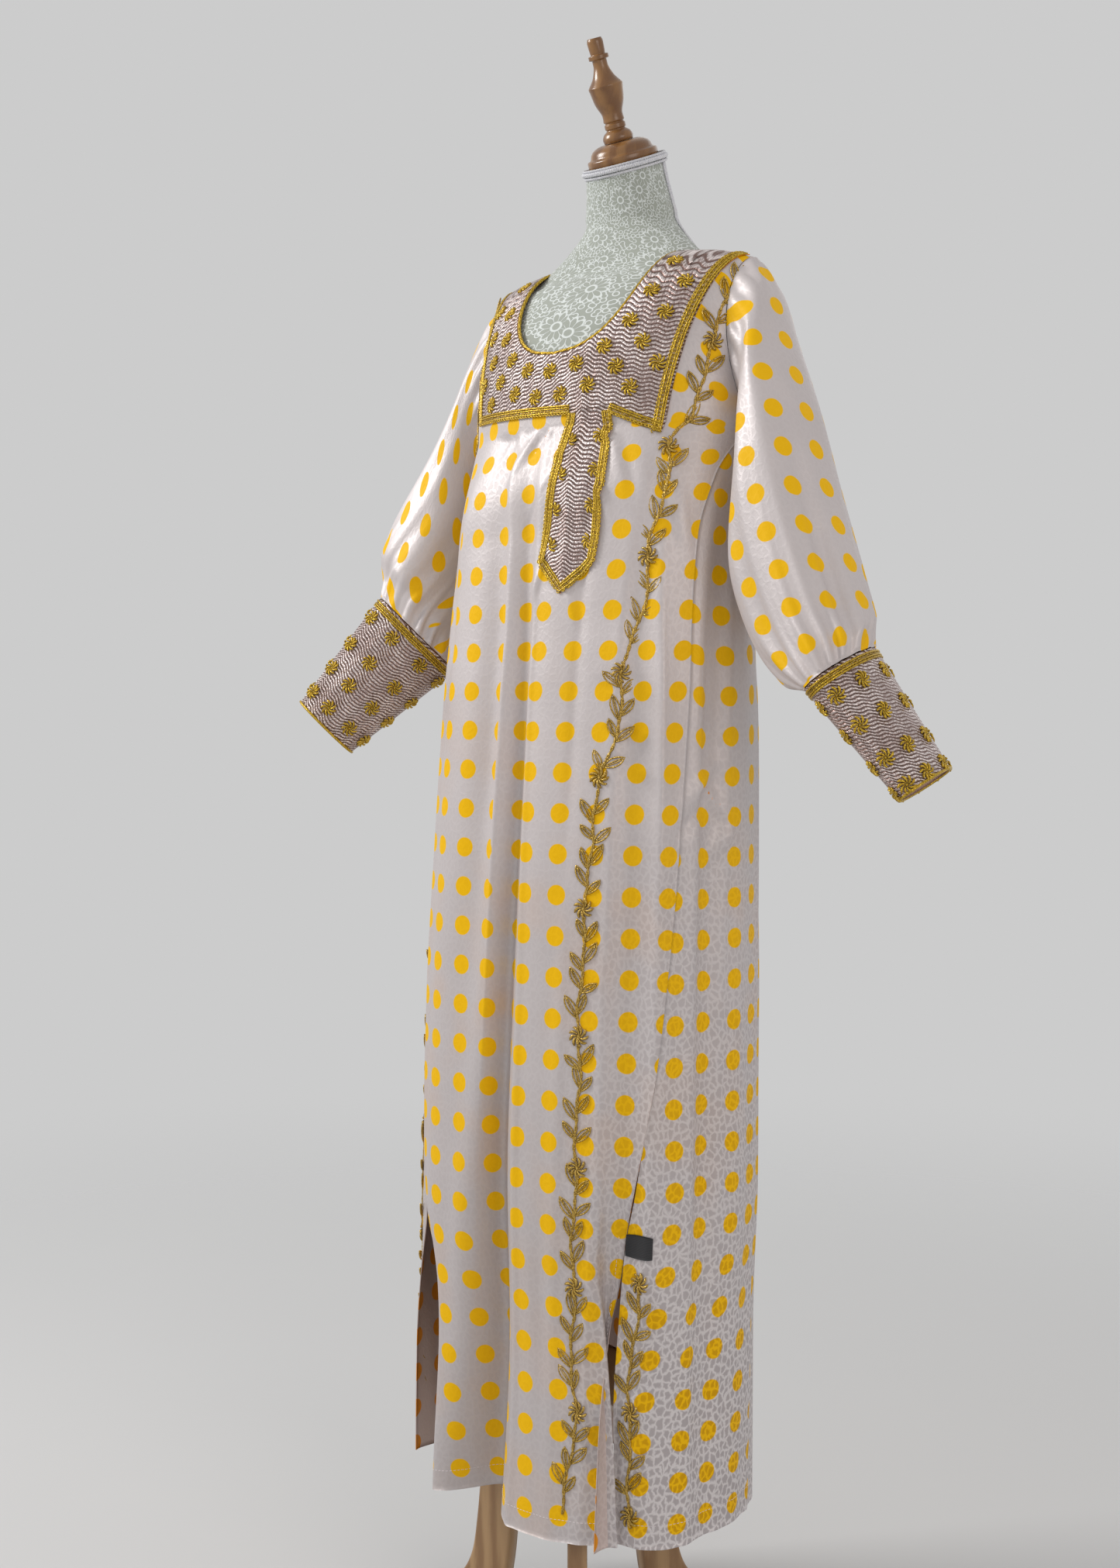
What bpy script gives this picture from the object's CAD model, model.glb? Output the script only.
# A long satin thobe robe with gold thread work, worn on a lace-covered dress form with a wooden stand
import math

import bpy
import numpy as np
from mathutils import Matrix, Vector


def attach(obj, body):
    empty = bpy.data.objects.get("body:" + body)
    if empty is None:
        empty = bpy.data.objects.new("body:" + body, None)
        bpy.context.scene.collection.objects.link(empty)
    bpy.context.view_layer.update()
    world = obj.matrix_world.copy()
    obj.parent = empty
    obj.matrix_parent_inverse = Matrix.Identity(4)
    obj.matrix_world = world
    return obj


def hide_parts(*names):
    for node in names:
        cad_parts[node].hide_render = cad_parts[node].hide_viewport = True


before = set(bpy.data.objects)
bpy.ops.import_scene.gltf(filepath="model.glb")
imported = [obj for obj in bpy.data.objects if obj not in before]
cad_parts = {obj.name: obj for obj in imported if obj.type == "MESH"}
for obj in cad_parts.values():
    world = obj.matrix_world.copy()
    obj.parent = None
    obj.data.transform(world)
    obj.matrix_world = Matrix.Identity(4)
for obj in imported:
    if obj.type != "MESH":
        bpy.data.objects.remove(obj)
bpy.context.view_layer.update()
scene = bpy.context.scene

# The part stands centred on its origin; the tables are measured from the form's middle line
centre = np.array([0.03287, 0.01710, 0.0])

robe = dict(wall=0.0009, gap=0.0005, seam=0.0009, hemZ=0.172, bustZ=1.410, tipX=0.195, neckX=0.100)

# Body rings: height, middle in depth, half width near and far, depth front and back, squareness
bodyRings = np.array([
    (0.130, 0.000, 0.192, 0.226, 0.138, 0.148, 2.5),
    (0.378, 0.000, 0.197, 0.220, 0.124, 0.150, 2.5),
    (0.559, 0.005, 0.200, 0.215, 0.132, 0.156, 2.5),
    (0.739, 0.010, 0.200, 0.215, 0.131, 0.156, 2.5),
    (0.920, 0.020, 0.200, 0.210, 0.133, 0.144, 2.5),
    (1.100, 0.030, 0.200, 0.205, 0.130, 0.128, 2.5),
    (1.190, 0.035, 0.197, 0.200, 0.126, 0.118, 2.5),
    (1.280, 0.045, 0.193, 0.195, 0.128, 0.114, 2.5),
    (1.350, 0.062, 0.194, 0.194, 0.140, 0.104, 2.3),
    (1.410, 0.078, 0.200, 0.200, 0.137, 0.099, 2.1),
])

# Ridge of the shoulders: distance from the middle, height
shoulderRidge = np.array([
    (0.000, 1.6280), (0.060, 1.6255), (0.100, 1.6215), (0.150, 1.6145), (0.180, 1.6070), (0.195, 1.6020), (0.230, 1.5850),
])
shoulderBend = {-1: 2.0, 1: 3.0}  # roundness of the chest and of the back

# Panel edges in degrees: height, front near, back near, front far, back far
panelEdges = np.array([
    (0.150, 66.0, 54.5, -61.0, -77.0),
    (0.300, 63.5, 54.0, -62.0, -73.5),
    (0.420, 60.0, 56.0, -62.0, -66.5),
    (0.490, 57.5, 57.5, -62.0, -62.0),
    (0.620, 61.5, 61.5, -65.0, -65.0),
    (0.760, 66.5, 66.5, -68.0, -68.0),
    (0.890, 69.4, 69.4, -70.0, -70.0),
    (1.120, 72.1, 72.1, -72.0, -72.0),
    (1.285, 73.0, 73.0, -73.0, -73.0),
    (1.350, 76.0, 76.0, -76.0, -76.0),
    (1.385, 81.0, 81.0, -81.0, -81.0),
    (1.410, 88.0, 88.0, -88.0, -88.0),
])

# Folds at hem, knee, hip and bust: angle, half width in degrees, reach outward, lean sideways
foldHeights = (0.150, 0.700, 1.080, 1.390)
bodyFolds = (
    ("middle pleat", (-24, -9.0, -3.5, -6.0), (15.0, 8.5, 6.5, 6.0), (-0.060, -0.030, -0.019, -0.003), (-0.034, -0.016, -0.006, 0.0)),
    ("middle crest", (14, 17, 15, 16), (15, 13, 12, 12), (0.004, 0.004, 0.005, 0.001), (0.0, 0.0, 0.0, 0.0)),
    ("side column", (-46, -33, -25, -27), (10, 9, 7.5, 8), (0.000, -0.006, -0.013, -0.006), (0.0, 0.0, -0.004, 0.0)),
    ("far swell", (-52, -48, -44, -50), (14, 13, 12, 12), (0.006, 0.004, 0.003, 0.0), (0.0, 0.0, 0.0, 0.0)),
    ("flank crease", (52, 64.5, 62.5, 60), (5, 4.2, 4.0, 6), (0.0, 0.007, 0.008, 0.0), (0.0, 0.0, 0.0, 0.0)),
    ("flank hollow", (45, 55, 55, 60), (8, 6.5, 6, 6), (-0.003, -0.009, -0.007, 0.0), (0.0, 0.0, 0.0, 0.0)),
    ("side hollow", (88, 84, 82, 84), (8, 7, 6.5, 7), (-0.004, -0.010, -0.010, 0.0), (0.0, 0.0, 0.0, 0.0)),
    ("side crest", (100, 97, 94, 96), (9, 8, 7, 8), (0.004, 0.005, 0.005, 0.0), (0.0, 0.0, 0.0, 0.0)),
    ("back crest left", (126, 127, 128, 128), (10, 9, 9, 9), (0.014, 0.008, 0.004, 0.0), (0.0, 0.0, 0.0, 0.0)),
    ("back hollow left", (146, 147, 148, 150), (11, 9, 9, 9), (-0.028, -0.018, -0.010, 0.0), (0.0, 0.0, 0.0, 0.0)),
    ("back crest", (170, 171, 172, 173), (12, 10, 10, 10), (0.006, 0.006, 0.004, 0.0), (0.0, 0.0, 0.0, 0.0)),
    ("back hollow right", (-165, -166, -167, -167), (12, 10, 9, 9), (-0.030, -0.020, -0.011, 0.0), (0.0, 0.0, 0.0, 0.0)),
    ("back crest right", (-140, -142, -142, -142), (11, 10, 9, 9), (0.008, 0.006, 0.004, 0.0), (0.0, 0.0, 0.0, 0.0)),
    ("far hollow", (-112, -112, -114, -114), (12, 10, 9, 9), (-0.018, -0.012, -0.008, 0.0), (0.0, 0.0, 0.0, 0.0)),
)

# Small creases that only the cloth's look has, same columns without the lean
softFolds = (
    ("front sharp line", (60, 63.2, 61.8, 60), (2.0, 1.5, 1.4, 2.5), (0.0, 0.0016, 0.0024, 0.0)),
    ("front inner line", (40, 47, 48, 52), (3.5, 2.8, 2.6, 3), (0.0012, 0.0018, 0.0014, 0.0)),
    ("tab side draw", (26, 29, 31, 33), (4, 3.4, 3.0, 3.5), (0.0010, 0.0014, -0.0016, -0.0010)),
    ("middle edge", (4, 5, 5, 3), (3.2, 2.6, 2.2, 3), (0.0018, 0.0020, 0.0024, 0.0006)),
    ("far line", (-40, -18, -14.5, -17), (3, 2.6, 2.4, 3), (0.0014, 0.0020, 0.0024, 0.0008)),
    ("far drag", (-62, -57, -58, -60), (4, 4, 4, 4), (0.0012, -0.0012, -0.0014, 0.0)),
    ("side line", (78, 77, 76, 79), (2.6, 2.2, 2.0, 3), (0.0012, 0.0022, 0.0024, 0.0)),
    ("side sharp", (92, 89, 88, 90), (2.4, 2.0, 2.0, 3), (0.0010, 0.0024, 0.0022, 0.0)),
    ("back line one", (112, 113, 114, 116), (3, 3, 3, 3), (0.0020, 0.0018, 0.0012, 0.0)),
    ("back line two", (137, 138, 139, 140), (3, 3, 3, 3), (0.0022, 0.0018, 0.0012, 0.0)),
    ("back line three", (158, 158, 159, 160), (3, 3, 3, 3), (-0.0022, -0.0018, -0.0010, 0.0)),
    ("back line four", (-177, -176, -176, -176), (3, 3, 3, 3), (0.0022, 0.0018, 0.0010, 0.0)),
    ("back line five", (-152, -153, -153, -153), (3, 3, 3, 3), (-0.0020, -0.0018, -0.0010, 0.0)),
    ("back line six", (-127, -127, -128, -128), (3, 3, 3, 3), (0.0022, 0.0016, 0.0012, 0.0)),
    ("far line two", (-98, -97, -97, -97), (3, 3, 3, 3), (0.0018, 0.0018, 0.0014, 0.0)),
)

# Short slanting draws and crumples: angle, height, half width in degrees, half height, slant in degrees a metre, reach
softDraws = (
    (3, 1.405, 1.3, 0.022, 330, 0.0018), (-2, 1.398, 1.3, 0.024, 300, -0.0016), (-6, 1.404, 1.3, 0.022, 280, 0.0016),
    (5, 1.345, 1.6, 0.030, 260, 0.0016), (1, 1.330, 1.6, 0.032, 240, -0.0014), (33, 1.400, 1.4, 0.020, -280, 0.0014),
    (35, 1.330, 1.6, 0.030, -200, 0.0014), (7, 1.240, 2.0, 0.040, 160, 0.0016), (26, 1.205, 2.0, 0.040, -150, 0.0014),
    (-10, 1.392, 2.0, 0.030, 210, 0.0016), (-19, 1.380, 2.2, 0.034, 190, -0.0016), (-27, 1.392, 2.2, 0.030, 160, 0.0014),
    (39, 1.375, 2.2, 0.030, -150, 0.0013), (46, 1.352, 2.4, 0.034, -120, -0.0013),
    (66, 1.300, 3.0, 0.040, -90, 0.0022), (58, 1.330, 3.0, 0.040, -110, -0.0018),
    (79, 1.010, 2.6, 0.020, 260, 0.0032), (84, 0.985, 2.4, 0.018, -240, 0.0030), (75, 0.968, 2.6, 0.018, 230, -0.0026),
    (88, 0.945, 3.0, 0.020, 200, 0.0028), (-48, 1.300, 4.0, 0.050, 80, 0.0018), (-60, 1.200, 4.0, 0.060, -60, -0.0018),
    (104, 1.250, 4.5, 0.055, -90, 0.0026), (120, 1.180, 5.0, 0.060, 70, -0.0022), (-118, 1.240, 4.5, 0.055, 90, 0.0024),
    (150, 1.300, 6.0, 0.040, -120, 0.0018), (-150, 1.290, 6.0, 0.040, 120, 0.0018), (0, 0.620, 7.0, 0.090, 20, 0.0016),
    (22, 0.420, 5.0, 0.080, -25, -0.0016), (-35, 0.480, 5.0, 0.090, 20, 0.0018), (84, 0.560, 5.0, 0.080, 30, -0.0020),
    (72, 0.400, 4.0, 0.080, -40, 0.0016), (108, 0.330, 5.0, 0.090, 20, 0.0018), (160, 0.520, 6.0, 0.100, 20, 0.0020),
)

# Cloth turned in beside the slits: height, reach front near, back near, front far, back far, fold start, flap under
slitTucks = np.array([
    (0.130, 0.015, 0.011, 0.040, -0.008, 54.5, 0.068),
    (0.300, 0.020, 0.012, 0.034, -0.006, 52.6, 0.046),
    (0.400, 0.032, 0.011, 0.024, 0.000, 50.5, 0.020),
    (0.490, 0.014, 0.014, 0.006, 0.006, 46.5, 0.000),
    (0.560, 0.004, 0.004, 0.002, 0.002, 47.0, 0.000),
    (0.660, 0.000, 0.000, 0.000, 0.000, 48.0, 0.000),
    (1.410, 0.000, 0.000, 0.000, 0.000, 60.0, 0.000),
])
tuckWide = dict(far=18.0, back=(8.0, 9.0))

# Hem lift by degrees round the body
hemLift = np.array([
    (-180, 0.000), (-120, 0.000), (-77, 0.002), (-62, -0.008), (-40, -0.002), (-16, 0.008), (-6, 0.000), (10, -0.002),
    (30, -0.003), (56, 0.000), (70, -0.004), (100, 0.000), (150, 0.000), (180, 0.000),
])

# Neckline, yoke and tab: distance from the middle, height
neckFront = np.array([
    (0.000, 1.4970), (0.030, 1.5010), (0.056, 1.5130), (0.076, 1.5340), (0.089, 1.5620), (0.096, 1.5920), (0.100, 1.6215),
])
neckBack = np.array([(0.000, 1.6020), (0.040, 1.6060), (0.075, 1.6130), (0.100, 1.6215)])
yokeLow = np.array([(-0.143, 1.431), (0.0335, 1.4258), (0.0850, 1.4240), (0.112, 1.412), (0.143, 1.398)])
yokeTopX = 0.188
tabSides = np.array([  # height, left edge, right edge
    (1.4250, 0.0335, 0.0850), (1.3850, 0.0285, 0.0900), (1.3350, 0.0245, 0.0930), (1.2900, 0.0205, 0.0925), (1.2540, 0.0170, 0.0890),
])
tabTip = (0.0500, 1.2170)

# Sleeves: outer point, inner point, middle in depth, fore half width, roll in degrees
sleeveNear = np.array([
    (0.219, 1.574, 0.211, 1.386, 0.074, 0.050, 0),
    (0.243, 1.520, 0.217, 1.345, 0.062, 0.062, 0),
    (0.281, 1.430, 0.213, 1.290, 0.052, 0.072, 0),
    (0.311, 1.340, 0.212, 1.236, 0.047, 0.076, 0),
    (0.338, 1.270, 0.228, 1.190, 0.042, 0.076, 0),
    (0.364, 1.210, 0.258, 1.142, 0.034, 0.072, 0),
    (0.384, 1.172, 0.293, 1.112, 0.025, 0.067, 0),
])
sleeveFar = np.array([
    (0.214, 1.574, 0.212, 1.388, 0.077, 0.046, 0),
    (0.232, 1.520, 0.218, 1.350, 0.070, 0.052, 0),
    (0.262, 1.440, 0.222, 1.305, 0.058, 0.057, 5),
    (0.296, 1.370, 0.226, 1.262, 0.042, 0.062, 12),
    (0.325, 1.310, 0.234, 1.222, 0.026, 0.066, 24),
    (0.336, 1.258, 0.240, 1.190, 0.012, 0.068, 38),
    (0.330, 1.226, 0.246, 1.172, 0.005, 0.067, 50),
])
cuffNear = dict(top=(0.3520, 0.020, 1.1300), end=(0.4350, 0.054, 1.0085), broad=(0.0650, 0.0475), narrow=(0.0350, 0.0250), roll=0)
cuffFar = dict(top=(0.2760, 0.000, 1.1800), end=(0.3620, -0.078, 1.0630), broad=(0.0655, 0.0445), narrow=(0.0340, 0.0250), roll=57)


def smoothRows(table, at):
    # every column of a table at a height or angle, by a cubic that doesn't overshoot
    x = table[:, 0]
    at = np.clip(np.asarray(at, float), x[0], x[-1])
    i = np.clip(np.searchsorted(x, at, side="right") - 1, 0, len(x) - 2)
    h = np.diff(x)
    slope = np.diff(table[:, 1:], axis=0) / h[:, None]
    m = np.zeros_like(table[:, 1:])
    same = slope[1:] * slope[:-1] > 0
    mean = 2 * slope[1:] * slope[:-1] / np.where(same, slope[1:] + slope[:-1], 1)
    m[1:-1] = np.where(same, mean, 0)
    m[0], m[-1] = slope[0], slope[-1]
    t = ((at - x[i]) / h[i])[..., None]
    hh = h[i][..., None]
    y = table[:, 1:]
    out = (2 * t**3 - 3 * t**2 + 1) * y[i] + (t**3 - 2 * t**2 + t) * hh * m[i]
    out = out + (3 * t**2 - 2 * t**3) * y[i + 1] + (t**3 - t**2) * hh * m[i + 1]
    return np.moveaxis(out, -1, 0)


def softStep(t):
    t = np.clip(t, 0, 1)
    return t * t * (3 - 2 * t)


def wrapDegrees(a):
    return (a + 180) % 360 - 180


def foldShift(deg, z):
    # sideways and outward shift of the cloth by its folds
    dx = np.zeros(np.broadcast(deg, z).shape)
    dy = np.zeros_like(dx)
    for name, angle, width, reach, lean in bodyFolds:
        at, wide, out, side = smoothRows(np.array([foldHeights, angle, width, reach, lean], float).T, z)
        bump = np.exp(-((wrapDegrees(deg - at) / wide) ** 2))
        a = np.radians(at)
        dx = dx + bump * (out * np.sin(a) + side * np.cos(a))
        dy = dy + bump * (-out * np.cos(a) + side * np.sin(a))
    soft = np.zeros_like(dx)
    for name, angle, width, reach in softFolds:
        at, wide, out = smoothRows(np.array([foldHeights, angle, width, reach], float).T, z)
        soft = soft + out * np.exp(-((wrapDegrees(deg - at) / wide) ** 2))
    for angle, high, wide, tall, slant, reach in softDraws:
        across = wrapDegrees(deg - angle - slant * (z - high)) / wide
        soft = soft + reach * np.exp(-(across**2) - ((z - high) / tall) ** 2)
    a = np.radians(deg)
    soft = soft * 1.9
    return dx + soft * np.sin(a), dy - soft * np.cos(a)


def tuckShift(deg, z, panel):
    # cloth turned inward beside the slits
    frontNear, backNear, frontFar, backFar, crest, under = smoothRows(slitTucks, z)
    e = smoothRows(panelEdges, z)
    dx = np.zeros(np.broadcast(deg, z).shape)
    dy = np.zeros_like(dx)
    if panel == "front":
        past = np.clip((deg - crest) / (e[0] - crest), 0, 1)
        a = np.radians(deg)
        inward = frontNear * (1 - np.exp(-4 * past * past / (past + 0.12))) / (1 - math.exp(-4 / 1.12))
        side = under * past * past / (past + 0.10) * 1.1
        dx = dx - inward * np.sin(a) - side * np.cos(a)
        dy = dy + inward * np.cos(a) - side * np.sin(a)
        turned = ((frontFar, e[2], tuckWide["far"]),)
    else:
        turned = ((backNear, e[1], tuckWide["back"][0]), (backFar, e[3], tuckWide["back"][1]))
    for reach, edge, wide in turned:
        amount = reach * softStep(1 - np.abs(wrapDegrees(deg - edge)) / wide)
        a = np.radians(edge)
        dx = dx - amount * np.sin(a)
        dy = dy + amount * np.cos(a)
    return dx, dy


def ringPoint(deg, z, panel):
    mid, near, far, front, back, square = smoothRows(bodyRings, z)
    a = np.radians(deg)
    s, c = np.sin(a), np.cos(a)
    wide = np.where(s > 0, near, far)
    deep = np.where(c > 0, front, back)
    r = (np.abs(s / wide) ** square + np.abs(c / deep) ** square) ** (-1 / square)
    fx, fy = foldShift(deg, z)
    tx, ty = tuckShift(deg, z, panel)
    return np.stack(np.broadcast_arrays(r * s + fx + tx, mid - r * c + fy + ty, np.asarray(z, float)), -1)


def upperPoint(x, w, side):
    # cloth above the bust: w rises from 0 at the bust to 90 at the shoulder ridge
    bust = robe["bustZ"]
    mid, near, far, front, back, square = smoothRows(bodyRings, np.full(np.shape(x), bust))
    ridge = smoothRows(shoulderRidge, np.abs(x))[0]
    deep = front if side < 0 else back
    inside = np.clip(1 - (np.abs(x) / near) ** square, 0, 1) ** (1 / square)
    a = np.radians(w)
    bend = 2 / shoulderBend[side]
    z = bust + (ridge - bust) * np.sin(a) ** bend
    y = mid + side * deep * inside * np.clip(np.cos(a), 0, 1) ** bend
    return np.stack([x, y, z], -1)


def riseOf(x, z, side):
    ridge = smoothRows(shoulderRidge, np.abs(x))[0]
    up = np.clip((z - robe["bustZ"]) / (ridge - robe["bustZ"]), 0, 1)
    return np.degrees(np.arcsin(up ** (shoulderBend[side] / 2)))


def frontAt(x, z):
    # front cloth at a distance from the middle and a height
    bust = robe["bustZ"]
    x, z = np.broadcast_arrays(np.asarray(x, float), np.asarray(z, float))
    high = upperPoint(x, riseOf(x, np.maximum(z, bust), -1), -1)
    zl = np.minimum(z, bust)
    mid, near, far, front, back, square = smoothRows(bodyRings, zl)
    ask = x.copy()
    for step in range(8):
        wide = np.where(ask > 0, near, far)
        inside = np.clip(1 - np.abs(ask / wide) ** square, 0, 1) ** (1 / square)
        low = ringPoint(np.degrees(np.arctan2(ask, front * inside)), zl, "front")
        ask = ask + (x - low[..., 0])
    return np.where((z >= bust)[..., None], high, low)


def frontFrame(x, z):
    # point, way right, way up and outward normal of the front cloth
    x, z = np.broadcast_arrays(np.asarray(x, float), np.asarray(z, float))
    h = 0.002
    p = frontAt(x, z)
    right = frontAt(x + h, z) - frontAt(x - h, z)
    up = frontAt(x, z + h) - frontAt(x, z - h)
    return squareUp(p, right, up)


def squareUp(p, right, up):
    right = right / np.linalg.norm(right, axis=-1, keepdims=True)
    n = np.cross(right, up)
    n = n / np.linalg.norm(n, axis=-1, keepdims=True)
    return p, right, np.cross(n, right), n


def along(table, count):
    d = np.linalg.norm(np.diff(table, axis=0), axis=1)
    s = np.concatenate([[0], np.cumsum(d)]) / d.sum()
    t = np.linspace(0, 1, count)
    return np.stack([np.interp(t, s, table[:, k]) for k in range(table.shape[1])], 1)


def topEdge(ends, middle, neck, side):
    # shoulder, neckline and shoulder, as distance from the middle and rise angle
    ridge = np.linspace(robe["tipX"], robe["neckX"], ends + 1)
    x = np.linspace(neck[0, 0], neck[-1, 0], 120)
    loop = np.stack([x] + list(smoothRows(neck, x)), 1)[::-1]
    half = along(upperPoint(loop[:, 0], riseOf(loop[:, 0], loop[:, 1], side), side), middle // 2 + 1)
    x = np.concatenate([ridge[:-1], half[:, 0]])
    w = np.concatenate([np.full(ends + 1, 90.0), riseOf(half[1:, 0], half[1:, 2], side)])
    return np.concatenate([x, -x[-2::-1]]), np.concatenate([w, w[-2::-1]])


def meshPiece(name, verts, faces, mats, faceUv=None, faceMat=None, flat=None):
    me = bpy.data.meshes.new(name)
    me.from_pydata((np.asarray(verts) - centre).tolist(), [], np.asarray(faces).tolist() if len(faces) else [])
    ob = bpy.data.objects.new(name, me)
    scene.collection.objects.link(ob)
    for mat in mats:
        me.materials.append(mat)
    smooth = np.ones(len(me.polygons), bool)
    if flat is not None:
        smooth[flat] = False
    me.polygons.foreach_set("use_smooth", smooth)
    if faceMat is not None:
        me.polygons.foreach_set("material_index", np.asarray(faceMat, np.int32))
    if faceUv is not None:
        me.uv_layers.new(name="clothUv").data.foreach_set("uv", np.asarray(faceUv, np.float32).ravel())
    me.update()
    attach(ob, "root")
    return ob


def gridNormals(p, loop):
    if loop:
        du = np.roll(p, -1, 1) - np.roll(p, 1, 1)
    else:
        du = np.gradient(p, axis=1)
    n = np.cross(du, np.gradient(p, axis=0))
    return n / np.maximum(np.linalg.norm(n, axis=-1, keepdims=True), 1e-12)


def clothShell(name, p, uv, low, high, mats, loop=False, turn=1):
    # closed thin cloth from a grid of points; uv is in metres of cloth
    n = gridNormals(p, loop) * turn
    rows, cols = p.shape[:2]
    verts = np.concatenate([(p + n * high).reshape(-1, 3), (p + n * low).reshape(-1, 3)])
    i, j = np.meshgrid(np.arange(rows - 1), np.arange(cols if loop else cols - 1), indexing="ij")
    corner = [(i, j), (i, j + 1), (i + 1, j + 1), (i + 1, j)]
    outer = np.stack([(a * cols + b % cols).ravel() for a, b in corner], 1)
    outerUv = np.stack([uv[a, b].reshape(-1, 2) for a, b in corner], 1)
    if turn < 0:
        outer, outerUv = outer[:, ::-1], outerUv[:, ::-1]
    inner, innerUv = outer[:, ::-1] + rows * cols, outerUv[:, ::-1]
    edges = []
    jj = np.arange(cols if loop else cols - 1)
    for r, way in ((0, -1), (rows - 1, 1)):
        a, b = (r, jj), (r, jj + 1)
        edges.append((a, b) if way * turn > 0 else (b, a))
    if not loop:
        ii = np.arange(rows - 1)
        for c, way in ((0, 1), (cols - 1, -1)):
            a, b = (ii, c), (ii + 1, c)
            edges.append((a, b) if way * turn > 0 else (b, a))
    rims, rimUv = [], []
    for a, b in edges:
        shape = jj.shape if np.ndim(a[1]) else ii.shape
        ia = np.broadcast_to(a[0] * cols + a[1] % cols, shape)
        ib = np.broadcast_to(b[0] * cols + b[1] % cols, shape)
        ua = uv[np.broadcast_to(a[0], shape), np.broadcast_to(a[1], shape)]
        ub = uv[np.broadcast_to(b[0], shape), np.broadcast_to(b[1], shape)]
        rims.append(np.stack([ia, ib, ib + rows * cols, ia + rows * cols][::-1], 1))
        rimUv.append(np.stack([ua, ub, ub, ua][::-1], 1))
    rims, rimUv = np.concatenate(rims), np.concatenate(rimUv)
    faces = np.concatenate([outer, inner, rims])
    faceUv = np.concatenate([outerUv, innerUv, rimUv])
    faceMat = np.concatenate([np.zeros(len(outer)), np.full(len(inner) + len(rims), len(mats) - 1)])
    flat = np.arange(len(outer) + len(inner), len(faces))
    return meshPiece(name, verts, faces, mats, faceUv, faceMat, flat)


def strands(paths, radii, up, sides=6, loop=False):
    # thread tubes: paths (n, m, 3), radii (m,) or (n, m), up (n, m, 3)
    paths = np.asarray(paths, float)
    n, m = paths.shape[:2]
    t = np.roll(paths, -1, 1) - np.roll(paths, 1, 1) if loop else np.gradient(paths, axis=1)
    t = t / np.maximum(np.linalg.norm(t, axis=-1, keepdims=True), 1e-12)
    up = np.broadcast_to(up, paths.shape)
    side = np.cross(t, up)
    side = side / np.maximum(np.linalg.norm(side, axis=-1, keepdims=True), 1e-12)
    lift = np.cross(side, t)
    radii = np.broadcast_to(radii, (n, m))
    a = np.arange(sides) * 2 * math.pi / sides
    ring = np.cos(a)[:, None] * side[:, :, None] + np.sin(a)[:, None] * lift[:, :, None]
    verts = paths[:, :, None] + ring * radii[:, :, None, None]
    base = np.arange(n)[:, None, None] * m * sides
    last = m if loop else m - 1
    i = np.arange(last)[None, :, None]
    k = np.arange(sides)[None, None, :]
    k2, i2 = (k + 1) % sides, (i + 1) % m
    q = [base + i * sides + k, base + i * sides + k2, base + i2 * sides + k2, base + i2 * sides + k]
    faces = np.stack(np.broadcast_arrays(*q), -1).reshape(-1, 4)
    if not loop and sides == 6:
        caps = []
        for row, order in ((0, ((3, 2, 1, 0), (5, 4, 3, 0))), (m - 1, ((0, 1, 2, 3), (0, 3, 4, 5)))):
            for f in order:
                caps.append(np.stack([base[:, 0, 0] + row * sides + x for x in f], 1))
        faces = np.concatenate([faces] + caps)
    return verts.reshape(-1, 3), faces


def gather(parts):
    verts, faces, count = [], [], 0
    for v, f in parts:
        verts.append(v)
        faces.append(f + count)
        count += len(v)
    return np.concatenate(verts), np.concatenate(faces)


def newMaterial(name, colour, rough, metal=0.0):
    mat = bpy.data.materials.new(name)
    mat.use_nodes = True
    bsdf = mat.node_tree.nodes["Principled BSDF"]
    bsdf.inputs["Base Color"].default_value = (*colour, 1)
    bsdf.inputs["Roughness"].default_value = rough
    bsdf.inputs["Metallic"].default_value = metal
    return mat, mat.node_tree, bsdf


def addNode(tree, kind, **props):
    node = tree.nodes.new("ShaderNode" + kind)
    for key, value in props.items():
        if key in node.bl_rna.properties:
            setattr(node, key, value)
        else:
            node.inputs[key.replace("_", " ")].default_value = value
    return node


def wire(tree, value, socket):
    if isinstance(value, (int, float, tuple)):
        socket.default_value = value
    else:
        tree.links.new(value, socket)


def maths(tree, kind, a, b=0.0, c=0.0):
    node = addNode(tree, "Math", operation=kind)
    for value, socket in zip((a, b, c), node.inputs):
        wire(tree, value, socket)
    return node.outputs[0]


def ramp(tree, value, low, high, outLow=0.0, outHigh=1.0):
    node = addNode(tree, "MapRange", interpolation_type="SMOOTHSTEP")
    for v, socket in zip((value, low, high, outLow, outHigh), node.inputs):
        wire(tree, v, socket)
    return node.outputs[0]


def blendColour(tree, share, a, b):
    node = addNode(tree, "Mix", data_type="RGBA")
    wire(tree, share, node.inputs[0])
    wire(tree, (*a, 1) if isinstance(a, tuple) else a, node.inputs[6])
    wire(tree, (*b, 1) if isinstance(b, tuple) else b, node.inputs[7])
    return node.outputs[2]


def bumpFrom(tree, bsdf, height, strength, distance):
    node = addNode(tree, "Bump")
    node.inputs["Strength"].default_value = strength
    node.inputs["Distance"].default_value = distance
    wire(tree, height, node.inputs["Height"])
    tree.links.new(node.outputs[0], bsdf.inputs["Normal"])


def clothAxes(tree):
    uv = addNode(tree, "UVMap", uv_map="clothUv")
    split = addNode(tree, "SeparateXYZ")
    tree.links.new(uv.outputs[0], split.inputs[0])
    return uv.outputs[0], split.outputs[0], split.outputs[1]


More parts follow.
